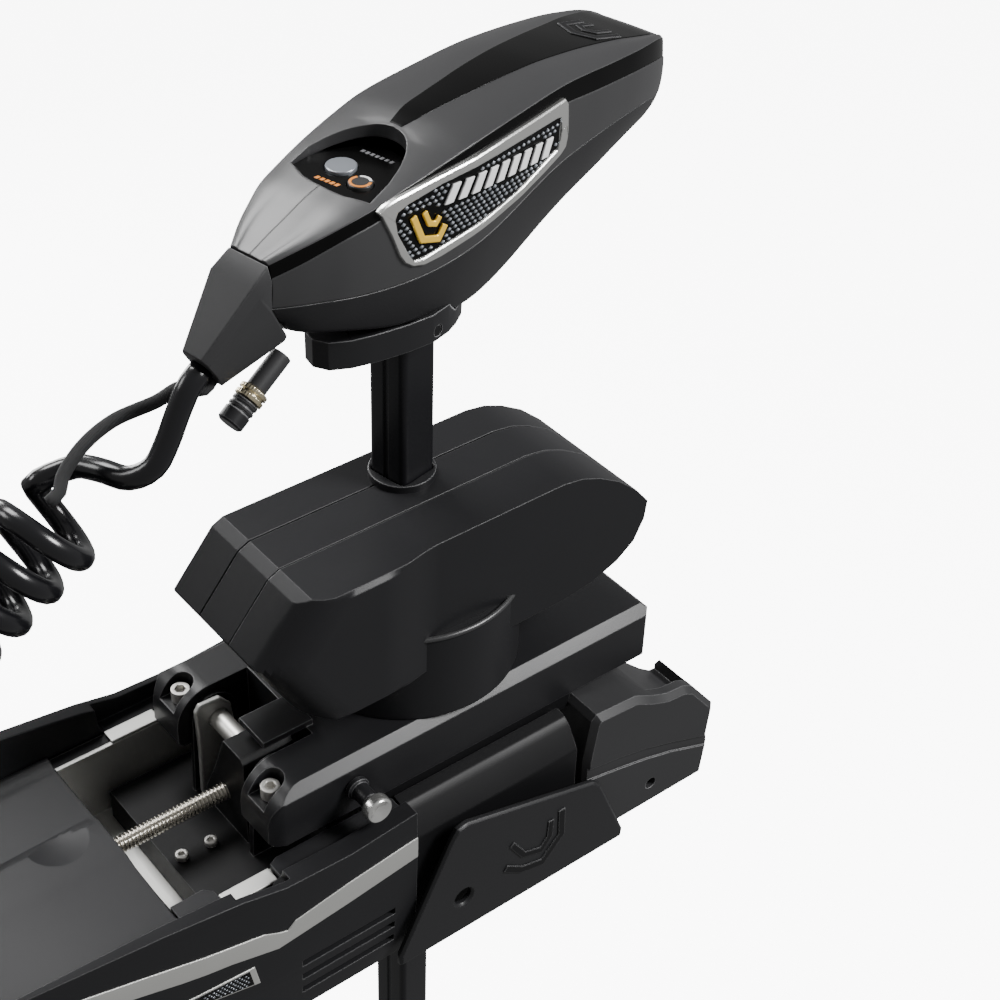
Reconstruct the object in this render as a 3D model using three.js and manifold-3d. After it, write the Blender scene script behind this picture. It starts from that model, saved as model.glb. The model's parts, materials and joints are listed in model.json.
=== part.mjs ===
// Bow-mount trolling motor with a power lift: a base that bolts to a boat's deck, a leadscrew carriage with a
// tilting arm and drive pod, a square steering shaft, a control head with a curly cord, and a lower unit.
// Frame, in mm: +Z up, +X over the bow, origin on the deck face under the tilt pivot. The arm is down, ready for use.
import * as THREE from 'three';
import { mergeVertices } from 'three/addons/utils/BufferGeometryUtils.js';
import Module from 'manifold-3d';

const wasm = await Module();
wasm.setup();

// ---- driving dimensions ----
const GAP = 0.4;

const SHAFT_X = 200;
const SHAFT_SIZE = 34;
const SHAFT_CORNER = 5;
const SHAFT_TOP = 540;
const SHAFT_BOTTOM = -640;
const COLLAR_LOW = 490.5;
const HEAD_YAW = THREE.MathUtils.degToRad(11);

const PIVOT_X = 52;
const PIVOT_Z = 170;
const PIVOT_PIN_RADIUS = 8;

const BASE_REAR = -330;
const WEB_FRONT = 140;
const FORK_FRONT = 290;
const WALL_IN = 88;
const WALL_OUT = 92;
const WALL_TOP = 135;
const FLOOR_LOW = 64;
const FLOOR_TOP = 70;
const PLATE_THICK = 6;

const SCREW_Z = 130;
const SCREW_RADIUS = 7;

const ARM_TOP = 195;
const ARM_LOW = 146;
const ARM_HALF = 86;
const ARM_CHAMFER = 8;
const EAR_RADIUS = 30;
const EAR_INNER = 44;
const EAR_BOLT_X = 37;
const EAR_BOLT_Y = 62;
const EAR_SEAT_Z = 175.5;
const ARM_FRONT = 385;

const KNOB_X = 94;
const KNOB_Z = 171;
const KNOB_INNER = -81;

const HOUSING_RADIUS = 90;
const HOUSING_TOP = 272;
const HUB_RADIUS = 25;
const HUB_LOW = 148;

const POD_TOP = 356;
const POD_LOW = 243;

const MOTOR_Z = -690;
const MOTOR_RADIUS = 48;
const PROP_RADIUS = 138;

const CORD_DIAMETER = 16;
const COIL_DIAMETER = 74;

// ---- helpers ----
const group = new THREE.Group();

function add(name, geometry, colour, roughness, metalness, parent = group) {
  const material = new THREE.MeshStandardMaterial({ color: colour, roughness, metalness });
  const mesh = new THREE.Mesh(geometry, material);
  mesh.name = name;
  parent.add(mesh);
  return mesh;
}

function toSolid(geometry) {
  const bare = geometry.clone();
  for (const attribute of ['normal', 'uv', 'uv1', 'uv2', 'color']) {
    if (bare.hasAttribute(attribute)) {
      bare.deleteAttribute(attribute);
    }
  }
  const merged = mergeVertices(bare, 1e-4);
  return new wasm.Manifold(new wasm.Mesh({
    numProp: 3,
    vertProperties: new Float32Array(merged.attributes.position.array),
    triVerts: new Uint32Array(merged.index.array),
  }));
}

function toGeometry(solid) {
  const mesh = solid.getMesh();
  const geometry = new THREE.BufferGeometry();
  geometry.setAttribute('position', new THREE.BufferAttribute(new Float32Array(mesh.vertProperties), 3));
  geometry.setIndex(new THREE.BufferAttribute(new Uint32Array(mesh.triVerts), 1));
  return geometry;
}

function cut(geometry, ...tools) {
  let solid = toSolid(geometry);
  for (const tool of tools) {
    solid = solid.subtract(toSolid(tool));
  }
  return toGeometry(solid);
}

function join(...geometries) {
  let solid = toSolid(geometries[0]);
  for (const other of geometries.slice(1)) {
    solid = solid.add(toSolid(other));
  }
  return toGeometry(solid);
}

function common(geometry, other) {
  return toGeometry(toSolid(geometry).intersect(toSolid(other)));
}

function box(x0, x1, y0, y1, z0, z1) {
  const geometry = new THREE.BoxGeometry(x1 - x0, y1 - y0, z1 - z0);
  return geometry.translate((x0 + x1) / 2, (y0 + y1) / 2, (z0 + z1) / 2);
}

function shapeOf(points, holes = []) {
  const shape = new THREE.Shape(points.map(([a, b]) => new THREE.Vector2(a, b)));
  for (const hole of holes) {
    shape.holes.push(new THREE.Path(hole.map(([a, b]) => new THREE.Vector2(a, b))));
  }
  return shape;
}

function extruded(shape, depth, bevel) {
  if (!bevel) {
    return new THREE.ExtrudeGeometry(shape, { depth, bevelEnabled: false, curveSegments: 10 });
  }
  const geometry = new THREE.ExtrudeGeometry(shape, {
    depth: depth - 2 * bevel,
    bevelEnabled: true,
    bevelSegments: 1,
    bevelThickness: bevel,
    bevelSize: bevel,
    bevelOffset: -bevel,
    curveSegments: 10,
  });
  return geometry.translate(0, 0, bevel);
}

// outline in X and Y, raised from z0 to z1
function slabXY(points, z0, z1, bevel = 0, holes = []) {
  return extruded(shapeOf(points, holes), z1 - z0, bevel).translate(0, 0, z0);
}

// outline in X and Z, from y0 to y1
function slabXZ(points, y0, y1, bevel = 0, holes = []) {
  return extruded(shapeOf(points, holes), y1 - y0, bevel).rotateX(Math.PI / 2).translate(0, y1, 0);
}

// outline in Y and Z, from x0 to x1
function slabYZ(points, x0, x1, bevel = 0, holes = []) {
  const turn = new THREE.Matrix4().makeBasis(
    new THREE.Vector3(0, 1, 0), new THREE.Vector3(0, 0, 1), new THREE.Vector3(1, 0, 0));
  return extruded(shapeOf(points, holes), x1 - x0, bevel).applyMatrix4(turn).translate(x0, 0, 0);
}

function cylinderX(radius, x0, x1, y, z, sides = 24) {
  return new THREE.CylinderGeometry(radius, radius, x1 - x0, sides).rotateZ(-Math.PI / 2).translate((x0 + x1) / 2, y, z);
}

function cylinderY(radius, y0, y1, x, z, sides = 24) {
  return new THREE.CylinderGeometry(radius, radius, y1 - y0, sides).translate(x, (y0 + y1) / 2, z);
}

function cylinderZ(radius, z0, z1, x, y, sides = 24) {
  return new THREE.CylinderGeometry(radius, radius, z1 - z0, sides).rotateX(Math.PI / 2).translate(x, y, (z0 + z1) / 2);
}

// the other side's copy, across Y = 0
function mirrorY(geometry) {
  const copy = toGeometry(toSolid(geometry));
  const position = copy.attributes.position;
  for (let i = 0; i < position.count; i += 1) {
    position.setY(i, -position.getY(i));
  }
  const index = copy.index;
  for (let i = 0; i < index.count; i += 3) {
    const second = index.getX(i + 1);
    index.setX(i + 1, index.getX(i + 2));
    index.setX(i + 2, second);
  }
  return copy;
}

function mirrored(points) {
  return points.map(([a, b]) => [-a, b]).reverse();
}

function circle(cx, cy, radius, sides = 16) {
  return Array.from({ length: sides }, (_, i) => {
    const a = (2 * Math.PI * i) / sides;
    return [cx + radius * Math.cos(a), cy + radius * Math.sin(a)];
  });
}

function roundedSquare(size, corner, steps = 4) {
  const h = size / 2 - corner;
  const points = [];
  for (let quarter = 0; quarter < 4; quarter += 1) {
    const cx = quarter === 0 || quarter === 3 ? h : -h;
    const cy = quarter < 2 ? h : -h;
    for (let i = 0; i <= steps; i += 1) {
      const a = (Math.PI / 2) * (quarter + i / steps);
      points.push([cx + corner * Math.cos(a), cy + corner * Math.sin(a)]);
    }
  }
  return points;
}

// closed skin through rings of equal length, with a fan over each end
function loft(rings) {
  const count = rings[0].length;
  const vertices = rings.flat();
  const triangles = [];
  for (let i = 0; i < rings.length - 1; i += 1) {
    for (let j = 0; j < count; j += 1) {
      const a = i * count + j;
      const b = i * count + ((j + 1) % count);
      triangles.push([a, b, b + count], [a, b + count, a + count]);
    }
  }
  for (const end of [0, rings.length - 1]) {
    const middle = rings[end].reduce((sum, p) => sum.map((s, k) => s + p[k] / count), [0, 0, 0]);
    const centre = vertices.push(middle) - 1;
    for (let j = 0; j < count; j += 1) {
      const a = end * count + j;
      const b = end * count + ((j + 1) % count);
      triangles.push(end === 0 ? [centre, b, a] : [centre, a, b]);
    }
  }
  let volume = 0;
  for (const [a, b, c] of triangles) {
    const [p, q, r] = [vertices[a], vertices[b], vertices[c]].map((v) => new THREE.Vector3(...v));
    volume += p.dot(q.cross(r));
  }
  const faces = volume < 0 ? triangles.map(([a, b, c]) => [a, c, b]) : triangles;
  const geometry = new THREE.BufferGeometry();
  geometry.setAttribute('position', new THREE.Float32BufferAttribute(vertices.flat(), 3));
  geometry.setIndex(faces.flat());
  return geometry;
}

// tube along a smooth path through the given points
function tube(points, diameter, steps, sides = 10) {
  const path = new THREE.CatmullRomCurve3(points.map((p) => new THREE.Vector3(...p)), false, 'centripetal');
  const section = shapeOf(circle(0, 0, diameter / 2, sides));
  return new THREE.ExtrudeGeometry(section, { steps, extrudePath: path, bevelEnabled: false });
}

// ---- base ----
const base = group;

const deckHoles = [];
for (const x of [-300, -120, 60]) {
  deckHoles.push(circle(x, -60, 4, 12), circle(x, 60, 4, 12));
}
add('base_plate', slabXY([[BASE_REAR, -WALL_OUT], [WEB_FRONT, -WALL_OUT], [WEB_FRONT, WALL_OUT], [BASE_REAR, WALL_OUT]], 0, PLATE_THICK, 0,
  deckHoles), 0x9da0a3, 0.45, 0.9, base);

const wallProfile = [
  [WALL_IN, PLATE_THICK + GAP], [WALL_OUT, PLATE_THICK + GAP], [WALL_OUT, WALL_TOP], [WALL_IN, WALL_TOP],
];
const RAIL_FRONT = 96;
const channel = cut(
  join(
    slabYZ(wallProfile, BASE_REAR, FORK_FRONT),
    slabYZ(mirrored(wallProfile), BASE_REAR, FORK_FRONT),
    box(BASE_REAR, WEB_FRONT, -WALL_IN - 1, WALL_IN + 1, FLOOR_LOW, FLOOR_TOP),
  ),
  box(RAIL_FRONT, FORK_FRONT + 1, -100, 100, WALL_TOP - 9, WALL_TOP + 1),
);
add('base_channel', channel, 0xc9cbcc, 0.35, 0.95, base);

// centre cover: a lid over the rails with a raised middle over the leadscrew
const COVER_FRONT = -61;
const coverHalf = [
  [0, 140.6], [20, 140.6], [30, 138], [87, 137], [96, 140], [101.5, 140], [101.5, 136], [87, WALL_TOP + GAP],
  [86, 133], [24, 133], [14, 137.6], [0, 137.6],
];
const coverProfile = [...coverHalf.slice(1, -1), ...mirrored(coverHalf.slice(1, -1))];
add('centre_cover', slabYZ(coverProfile, BASE_REAR + 14, COVER_FRONT), 0x17181a, 0.55, 0.1, base);

// side covers: skins of the base, with a crest that falls towards the bow and an inner slope down to the rails
const sideProfile = [
  [WALL_OUT + 0.6, 4], [117, 4], [119.5, 20], [122, 60], [123, 120], [122.5, 150], [120, 184], [116, 184], [104.5, 143],
  [103, 139], [103, 134], [WALL_OUT + 0.6, 134],
];
const sidePlan = [
  [BASE_REAR, 0], [BASE_REAR, 108], [-250, 113], [-190, 118], [-100, 121], [-35, 124], [124, 124], [124, 0],
];
const crest = [
  [BASE_REAR, 0], [BASE_REAR, 180], [-200, 176], [-90, 168], [-25, 159], [10, 151], [65, 149], [124, 154], [124, 0],
];
const sideSkin = common(
  common(slabYZ(sideProfile, BASE_REAR, 124), slabXY(sidePlan, 0, 200)),
  slabXZ(crest, 80, 140),
);
const louvres = [0, 1, 2].map((i) => box(20, 104, 114, 130, 24 + 16 * i, 31 + 16 * i));
const shoulder = (x0, x1) => slabXZ([[x0, 190], [x0, 140], [x0 + 4, 135], [x1 - 8, 135], [x1, 143], [x1, 190]], 98, 116);
add('far_side_cover', cut(sideSkin, ...louvres, shoulder(-14, 48)), 0x1a1b1d, 0.5, 0.1, base);
const nearLip = slabXY([[COVER_FRONT + 0.5, 79], [-34, 79], [-28, 85], [-28, 106], [COVER_FRONT + 0.5, 106]],
  WALL_TOP + GAP, 139);
const nearSill = slabXY([[16, 90], [23, 86.8], [120, 86.8], [124, 90], [124, 106], [16, 106]], WALL_TOP + GAP, 142);
const nearSkin = join(
  cut(sideSkin, ...louvres, shoulder(-28, 16)),
  cut(nearLip, slabXZ([[-70, 100], [-70, 130], [-20, 130], [-20, 100]], 70, 90)),
  nearSill,
);
add('near_side_cover', mirrorY(nearSkin), 0x1a1b1d, 0.5, 0.1, base);

// bare metal flanges of the rails, seen in the notches of the side covers
const tab = (x0, x1) => slabXZ([[x0, WALL_TOP + GAP], [x1, WALL_TOP + GAP], [x1, WALL_TOP + 2.8],
  [x0, WALL_TOP + 2.8]], WALL_IN + 0.4, 102, 0.6);
add('far_rail_tab', tab(-12, 31), 0xd3d4d5, 0.35, 0.95, base);
add('near_rail_tab', mirrorY(tab(-27, 15)), 0xd3d4d5, 0.35, 0.95, base);

// ramps, side plates and bumpers of the open front
const rampProfile = [
  [WALL_OUT + 0.6, 4], [115, 4], [115, 116], [104, 134], [98, 139], [WALL_IN, 141], [WALL_IN, WALL_TOP - 8],
  [WALL_OUT + 0.6, WALL_TOP - 8],
];
const ramp = slabYZ(rampProfile, 127, FORK_FRONT - 4);
add('far_ramp', ramp, 0x151617, 0.6, 0.1, base);
add('near_ramp', mirrorY(ramp), 0x151617, 0.6, 0.1, base);

const plateOutline = [[103, 3], [328, 3], [329, 11], [299, 82], [292, 88], [166, 123], [156, 121], [150, 112], [103, 14]];
const plate = slabXZ(plateOutline, 124, 131, 2, [circle(163, 42, 8)]);
const spacer = slabXZ([[180, 30], [280, 30], [270, 70], [180, 90]], 115.4, 125);
add('far_side_plate', join(plate, spacer), 0x1b1c1e, 0.5, 0.1, base);
add('near_side_plate', mirrorY(join(plate, spacer)), 0x1b1c1e, 0.5, 0.1, base);

// bumper: an outer wall and a front lip round a pocket that lets the raised motor lie between the pair
const bumperOutline = [
  [294, 3], [294, 96], [300, 136], [305, 141], [346, 138], [365, 127.5], [381, 121], [399, 119], [410, 113], [436, 80],
  [433, 47], [435, 40], [431, 3],
];
const pocket = [[352, 139], [371, 121], [392, 103], [412, 84], [424, 75], [430, 74], [431, 160], [352, 160]];
const upperBand = [[296, 88], [330, 82], [360, 74.5], [390, 64], [438, 45]];
const lowerBand = [[438, 34], [390, 53], [360, 62], [330, 69], [296, 76]];
const bumper = cut(
  slabXZ(bumperOutline, 50, 118, 5),
  slabXY([[280, 40], [280, 70], [340, 62], [345, 40]], 0, 160),
  slabXZ(pocket, 40, 105),
  slabXZ([...upperBand, ...lowerBand], 116.4, 120),
  cylinderY(5.5, 100, 130, 369, 29, 16),
);
add('far_bumper', bumper, 0x131415, 0.7, 0.05, base);
add('near_bumper', mirrorY(bumper), 0x131415, 0.7, 0.05, base);

// leadscrew and its two bearing blocks
const bearing = (x0, x1, top) => cut(
  slabYZ([[-24, FLOOR_TOP + GAP], [24, FLOOR_TOP + GAP], [20, top], [-20, top]], x0, x1, 1),
  cylinderX(SCREW_RADIUS + GAP, x0 - 1, x1 + 1, 0, SCREW_Z),
);
add('front_bearing', bearing(102, 124, 141), 0x1c1d1f, 0.5, 0.2, base);
add('rear_bearing', bearing(-262, -240, 134.5), 0x1c1d1f, 0.5, 0.2, base);
add('leadscrew', cylinderX(SCREW_RADIUS, -270, 126, 0, SCREW_Z), 0xb8b2a4, 0.3, 1.0, base);

// drive motor behind the leadscrew, rear cap and cord gland
add('drive_motor', cylinderX(20, BASE_REAR + 16, -276, 0, 96), 0x303236, 0.5, 0.4, base);
const capOutline = [
  [-108, 4], [108, 4], [110, 60], [108, 128], [98, 146], [60, 150], [-60, 150], [-98, 146], [-108, 128], [-110, 60],
];
add('rear_cap', slabYZ(capOutline, BASE_REAR - 14, BASE_REAR - GAP, 4), 0x18191b, 0.55, 0.1, base);
const gland = new THREE.LatheGeometry([[0, 0], [15, 0], [15, 6], [12, 8], [12, 20], [0, 20]].map(
  ([r, z]) => new THREE.Vector2(r, z)), 20);
const GLAND = new THREE.Vector3(BASE_REAR - 14 - GAP, -40, 100);
add('cord_gland', gland.rotateZ(Math.PI / 2).translate(GLAND.x, GLAND.y, GLAND.z), 0x111213, 0.6, 0.05, base);

// ---- carriage ----
// sled between the channel walls, nut block over the leadscrew, and two lugs that hold the pivot pin
const carriageSled = slabXZ([[-24, 71], [84, 71], [90, 80], [90, 98.5], [-24, 98.5]], -80, 80, 1.5);
const nutBlock = slabYZ([[-30, 97], [-30, 181], [-26, 185], [-3, 185], [12, 146], [28, 112], [28, 97]], 34, 78);
const LUG_RADIUS = 19;
const lugOutline = [[30, 97], [76, 97]];
for (let i = 0; i <= 10; i += 1) {
  const a = Math.PI * (i / 10);
  lugOutline.push([PIVOT_X + LUG_RADIUS * Math.cos(a), PIVOT_Z + LUG_RADIUS * Math.sin(a)]);
}
const carriage = cut(
  join(carriageSled, nutBlock, slabXZ(lugOutline, -43.4, -38), slabXZ(lugOutline, 39.4, 43.4)),
  cylinderX(SCREW_RADIUS + GAP, -40, 120, 0, SCREW_Z),
  cylinderY(PIVOT_PIN_RADIUS + GAP, -60, 60, PIVOT_X, PIVOT_Z, 20),
);
add('carriage', carriage, 0x141516, 0.6, 0.1);
add('pivot_pin', cylinderY(PIVOT_PIN_RADIUS, -80, 80, PIVOT_X, PIVOT_Z), 0xbfc1c3, 0.25, 1.0);
const bracket = cut(
  slabXZ([[33, 99], [58, 99], [60, 132], [66, 160], [64, 178], [55, 189], [37, 190], [33, 184], [34, 140]], 33, 38, 1),
  cylinderY(PIVOT_PIN_RADIUS + GAP, 20, 50, PIVOT_X, PIVOT_Z, 20),
);
add('lever_bracket', bracket, 0xcfd0d1, 0.3, 1.0);
const sledScrew = (x, y) => join(cylinderZ(5, 98.9, 103.5, x, y, 16), cylinderZ(5, 98.9, 101, x, y, 16));
add('sled_screw_rear', cut(sledScrew(-14, -13), cylinderZ(2.5, 101, 105, -14, -13, 6)), 0xd0d0d0, 0.25, 1.0);
add('sled_screw_front', cut(sledScrew(11, -14), cylinderZ(2.5, 101, 105, 11, -14, 6)), 0xd0d0d0, 0.25, 1.0);

// ---- tilting arm and drive pod ----
const armPlan = [
  [ARM_FRONT, -78], [ARM_FRONT, 78], [ARM_FRONT - 8, ARM_HALF], [34, ARM_HALF], [20, 79], [20, EAR_INNER],
  [86, EAR_INNER], [86, -EAR_INNER], [20, -EAR_INNER], [20, -79], [34, -ARM_HALF], [ARM_FRONT - 8, -ARM_HALF],
];
const armSide = [[26, ARM_LOW], [ARM_FRONT - 6, ARM_LOW], [ARM_FRONT, 152], [ARM_FRONT, ARM_TOP - 8],
  [ARM_FRONT - 8, ARM_TOP]];
for (let i = 0; i <= 8; i += 1) {
  const a = (Math.PI / 2) * (1 + i / 8);
  armSide.push([PIVOT_X + EAR_RADIUS * Math.cos(a), ARM_TOP - EAR_RADIUS + EAR_RADIUS * Math.sin(a)]);
}
armSide.push([22, 150]);
const topChamfer = slabYZ([[ARM_HALF - ARM_CHAMFER, ARM_TOP + 0.1], [ARM_HALF + 0.1, ARM_TOP - ARM_CHAMFER],
  [ARM_HALF + 5, ARM_TOP - ARM_CHAMFER], [ARM_HALF + 5, ARM_TOP + 5], [ARM_HALF - ARM_CHAMFER, ARM_TOP + 5]], 0, 400);
const recess = (y) => [
  cylinderZ(10.5, EAR_SEAT_Z, ARM_TOP + 10, EAR_BOLT_X, y, 28),
  box(0, EAR_BOLT_X, y - 10.5, y + 10.5, EAR_SEAT_Z, ARM_TOP + 10),
];
const tongue = box(49, 92, -36, -3, ARM_TOP - 0.5, ARM_TOP + 5);
const arm = cut(
  join(common(slabXY(armPlan, 140, ARM_TOP), slabXZ(armSide, -ARM_HALF, ARM_HALF)), tongue),
  topChamfer,
  mirrorY(topChamfer),
  ...recess(EAR_BOLT_Y),
  ...recess(-EAR_BOLT_Y),
  cylinderZ(HUB_RADIUS + GAP, 120, 240, SHAFT_X, 0, 36),
  cylinderY(PIVOT_PIN_RADIUS + GAP, -80.5, 80.5, PIVOT_X, PIVOT_Z, 20),
  cylinderY(4 + GAP, -110, KNOB_INNER + 0.6, KNOB_X, KNOB_Z),
);
add('tilt_arm', arm, 0x191a1c, 0.5, 0.1);

const earBolt = (y) => cut(
  cylinderZ(7.4, EAR_SEAT_Z + GAP, EAR_SEAT_Z + 11, EAR_BOLT_X, y, 24),
  cylinderZ(4.4, EAR_SEAT_Z + 5, EAR_SEAT_Z + 12, EAR_BOLT_X, y, 6),
);
add('near_ear_bolt', earBolt(-EAR_BOLT_Y), 0x9fa1a3, 0.3, 1.0);
add('far_ear_bolt', earBolt(EAR_BOLT_Y), 0x9fa1a3, 0.3, 1.0);

const housing = cut(
  cylinderZ(HOUSING_RADIUS, ARM_TOP + GAP, HOUSING_TOP, SHAFT_X, 0, 64),
  cylinderZ(HUB_RADIUS + GAP, 120, 300, SHAFT_X, 0, 36),
  box(SHAFT_X - 120, SHAFT_X + 120, 33, 120, 200, 300),
);
add('steering_housing', housing, 0x17181a, 0.55, 0.1);

const podOutline = [
  [63, POD_TOP], [285, POD_TOP], [303, 353], [320, 346], [340, 334], [358, 318], [371, 302], [369, 286], [360, 268],
  [344, 256], [320, 247], [290, POD_LOW], [82, POD_LOW], [57, 256], [25, 310],
];
const podClear = [
  cylinderZ(HUB_RADIUS + GAP, 200, 400, SHAFT_X, 0, 36),
  cylinderZ(HOUSING_RADIUS + GAP, 200, HOUSING_TOP + GAP, SHAFT_X, 0, 64),
];
add('pod_far_cover', cut(slabXZ(podOutline, GAP, 36, 4), ...podClear), 0x1b1c1e, 0.5, 0.1);
add('pod_middle_cover', cut(slabXZ(podOutline, -37, 0, 3), ...podClear), 0x1b1c1e, 0.5, 0.1);
const nearPod = join(
  slabXZ(podOutline, -80, -37 - GAP, 7),
  cut(slabXZ(podOutline, -88, -60, 7), slabXY([[126, -90], [168, -80.5], [168, -50], [400, -50], [400, -100],
    [126, -100]], 200, 400)),
);
add('pod_near_cover', cut(nearPod, ...podClear), 0x1b1c1e, 0.5, 0.1);

// release pin with its knob, on the near side of the arm
const pinProfile = [[0, 0], [4, 0], [4, 26], [7, 27], [11, 30], [11, 37], [10, 38], [0, 38]];
const pin = new THREE.LatheGeometry(pinProfile.map(([r, z]) => new THREE.Vector2(r, z)), 24);
add('release_knob', pin.rotateX(Math.PI).translate(KNOB_X, KNOB_INNER, KNOB_Z), 0xcfd1d2, 0.15, 1.0);

// ---- turning hub ----
const hubTube = cut(
  cylinderZ(HUB_RADIUS, HUB_LOW, POD_TOP + 6, SHAFT_X, 0, 36),
  slabXY(roundedSquare(SHAFT_SIZE + 1, SHAFT_CORNER).map(([a, b]) => [a, b]), 100, 400)
    .rotateZ(HEAD_YAW).translate(SHAFT_X, 0, 0),
);
add('steering_hub', hubTube, 0x101112, 0.5, 0.1);

// ---- shaft, control head and lower unit, turned together by HEAD_YAW ----
const turned = new THREE.Group();
turned.position.set(SHAFT_X, 0, 0);
turned.rotation.z = HEAD_YAW;
group.add(turned);

const groove = (angle) => box(-2, 2, -20, -15.5, SHAFT_BOTTOM - 1, SHAFT_TOP + 1).rotateZ(angle);
const shaft = cut(
  slabXY(roundedSquare(SHAFT_SIZE, SHAFT_CORNER), SHAFT_BOTTOM, SHAFT_TOP),
  groove(-Math.PI / 2),
  groove(Math.PI / 2),
);
add('shaft', shaft, 0x0f1011, 0.35, 0.2, turned);

// head sections: [u, half width, half stripe, top, ridge, band, crease, keel, lean of the keel]
const headSections = [
  [-136, 17.3, 3, 597.2, 596.6, 587.2, 565.6, 539.5, 17],
  [-120, 26.1, 4, 604, 603.1, 593.4, 564.1, 536.5, 8],
  [-105, 32.7, 4, 609.5, 608, 599.1, 562.6, 533.6, 2],
  [-90, 38.4, 4, 615.5, 612.8, 604.3, 560.6, 529.8, 0],
  [-70, 42.7, 4, 621, 617, 608.3, 557.8, 522.8, 0],
  [-50, 45.6, 4, 626.3, 621.6, 613.4, 555.6, 515.8, 0],
  [-30, 48, 4, 630.5, 625.5, 618.3, 554.6, 510.6, 0],
  [-10, 49.7, 4.8, 633.9, 629.2, 622.2, 554.8, 506.6, 0],
  [10, 51, 9.4, 638, 632.4, 625, 556.9, 503, 0],
  [30, 51, 11.3, 639.7, 634.3, 626.5, 560, 502.4, 0],
  [50, 50.2, 13.1, 640.9, 635.6, 627.2, 564.9, 506.3, 0],
  [70, 49.3, 15, 642, 636.7, 627.2, 571, 512.8, 0],
  [90, 48.4, 16.6, 642.5, 637.7, 626.5, 577, 521, 0],
  [110, 47.6, 18, 642.4, 637.9, 625, 581.3, 529.3, 0],
  [130, 47, 19.6, 641.2, 636.9, 623, 584, 536.8, 0],
  [150, 46.4, 21.3, 639.5, 635.3, 621.4, 586, 543, 0],
  [170, 45.1, 23.4, 637.2, 633.6, 619.6, 587, 548.4, 0],
  [190, 43.2, 26, 634.6, 631.7, 617.5, 587, 553.8, 0],
  [207, 40.2, 28, 631.3, 629.6, 615, 585.5, 557, 0],
  [222, 36.4, 28.5, 628, 627, 612, 583, 558.6, 0],
  [235, 31.5, 25, 623.5, 622.5, 608.3, 580, 559, 0],
  [244, 26, 19, 617, 615.5, 604, 578, 560.5, 0],
  [250, 18, 12, 607.5, 606, 599, 577, 564, 0],
  [252.5, 8, 5, 596, 595, 592, 580, 572, 0],
];
const bothSides = (right) => [...right, ...right.filter(([, v]) => v > 0).reverse().map(([u, v, z]) => [u, -v, z])];
const splitZ = (ridge, band) => (ridge + band) / 2;

function upperRing([u, half, stripe, top, ridge, band]) {
  return bothSides([[u, half + 1, splitZ(ridge, band) + GAP / 2], [u, half, ridge], [u, stripe, top], [u, 0, top + 0.6]]);
}

function lowerRing([u, half, , , ridge, band, crease, keel, lean], i, all, drop = 0) {
  return bothSides([[u, half + 1, splitZ(ridge, band) - GAP / 2 - drop], [u, half + 1.5, band - drop],
    [u, half * 0.97 + 0.5, crease - drop], [u + lean, half * 0.68, keel - drop]]);
}

// D-shaped recess in the top of the head, with a level panel and two buttons in it
const RECESS_FLOOR = 613;
const recessPlan = (inset) => [[-69, -37], [-50, -35], [-34, -30], [-20, -22], [-11, -12], [-8.5, 0], [-11, 12],
  [-20, 22], [-34, 30], [-50, 35], [-66, 34], [-72.5, 18], [-75, 0], [-74, -20]]
  .map(([u, v]) => [-45 + (u + 45) * (1 - inset / 33), v * (1 - inset / 35)]);
const panelRecess = slabXY(recessPlan(0), RECESS_FLOOR, 700);
const POWER_BUTTON = [-47.4, 8.2];
const MODE_BUTTON = [-55.3, -16];
add('head_upper_cover', cut(loft(headSections.map(upperRing)), panelRecess), 0x2b2d30, 0.45, 0.3, turned);
const shaftClear = slabXY(roundedSquare(SHAFT_SIZE + 1, SHAFT_CORNER), 400, SHAFT_TOP + GAP);
add('head_lower_housing', cut(loft(headSections.map((section) => lowerRing(section))), shaftClear, panelRecess), 0x2b2d30,
  0.45, 0.3, turned);
add('control_panel', slabXY(recessPlan(0.6), RECESS_FLOOR + GAP, 618, 0.5, [circle(...POWER_BUTTON, 10.8, 24),
  circle(...MODE_BUTTON, 8.6, 24)]), 0x121314, 0.3, 0.1, turned);
const button = (x, y, radius) => cylinderZ(radius, 615.5, 620, x, y, 24);
add('power_button', button(...POWER_BUTTON, 10.3), 0x8f949a, 0.3, 0.8, turned);
add('mode_button', button(...MODE_BUTTON, 8.1), 0xc9772a, 0.5, 0.1, turned);

// collar under the head, with its clamp screw
const collarHalf = [[47, 0], [44.5, 11], [38, 21], [28, 29], [16, 34.5], [5, 37.5], [-11, 38.6], [-31, 34.5], [-54, 27],
  [-70, 20], [-82, 11], [-86, 0]];
const collarPlan = [...collarHalf, ...collarHalf.slice(1, -1).reverse().map(([u, v]) => [u, -v])];
const COLLAR_SCREW_U = -6;
const collar = cut(
  slabXY(collarPlan, COLLAR_LOW, 527),
  loft(headSections.map((section, i, all) => lowerRing(section, i, all, GAP))),
  box(-110, 90, -80, 80, 512, 540),
  shaftClear,
  cylinderY(4 + GAP, -60, -28, COLLAR_SCREW_U, COLLAR_LOW + 7, 12),
);
add('head_collar', collar, 0x232528, 0.5, 0.2, turned);
add('collar_screw', cylinderY(4, -37.5, -28.6, COLLAR_SCREW_U, COLLAR_LOW + 7, 12), 0x17181a, 0.35, 0.6, turned);

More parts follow.
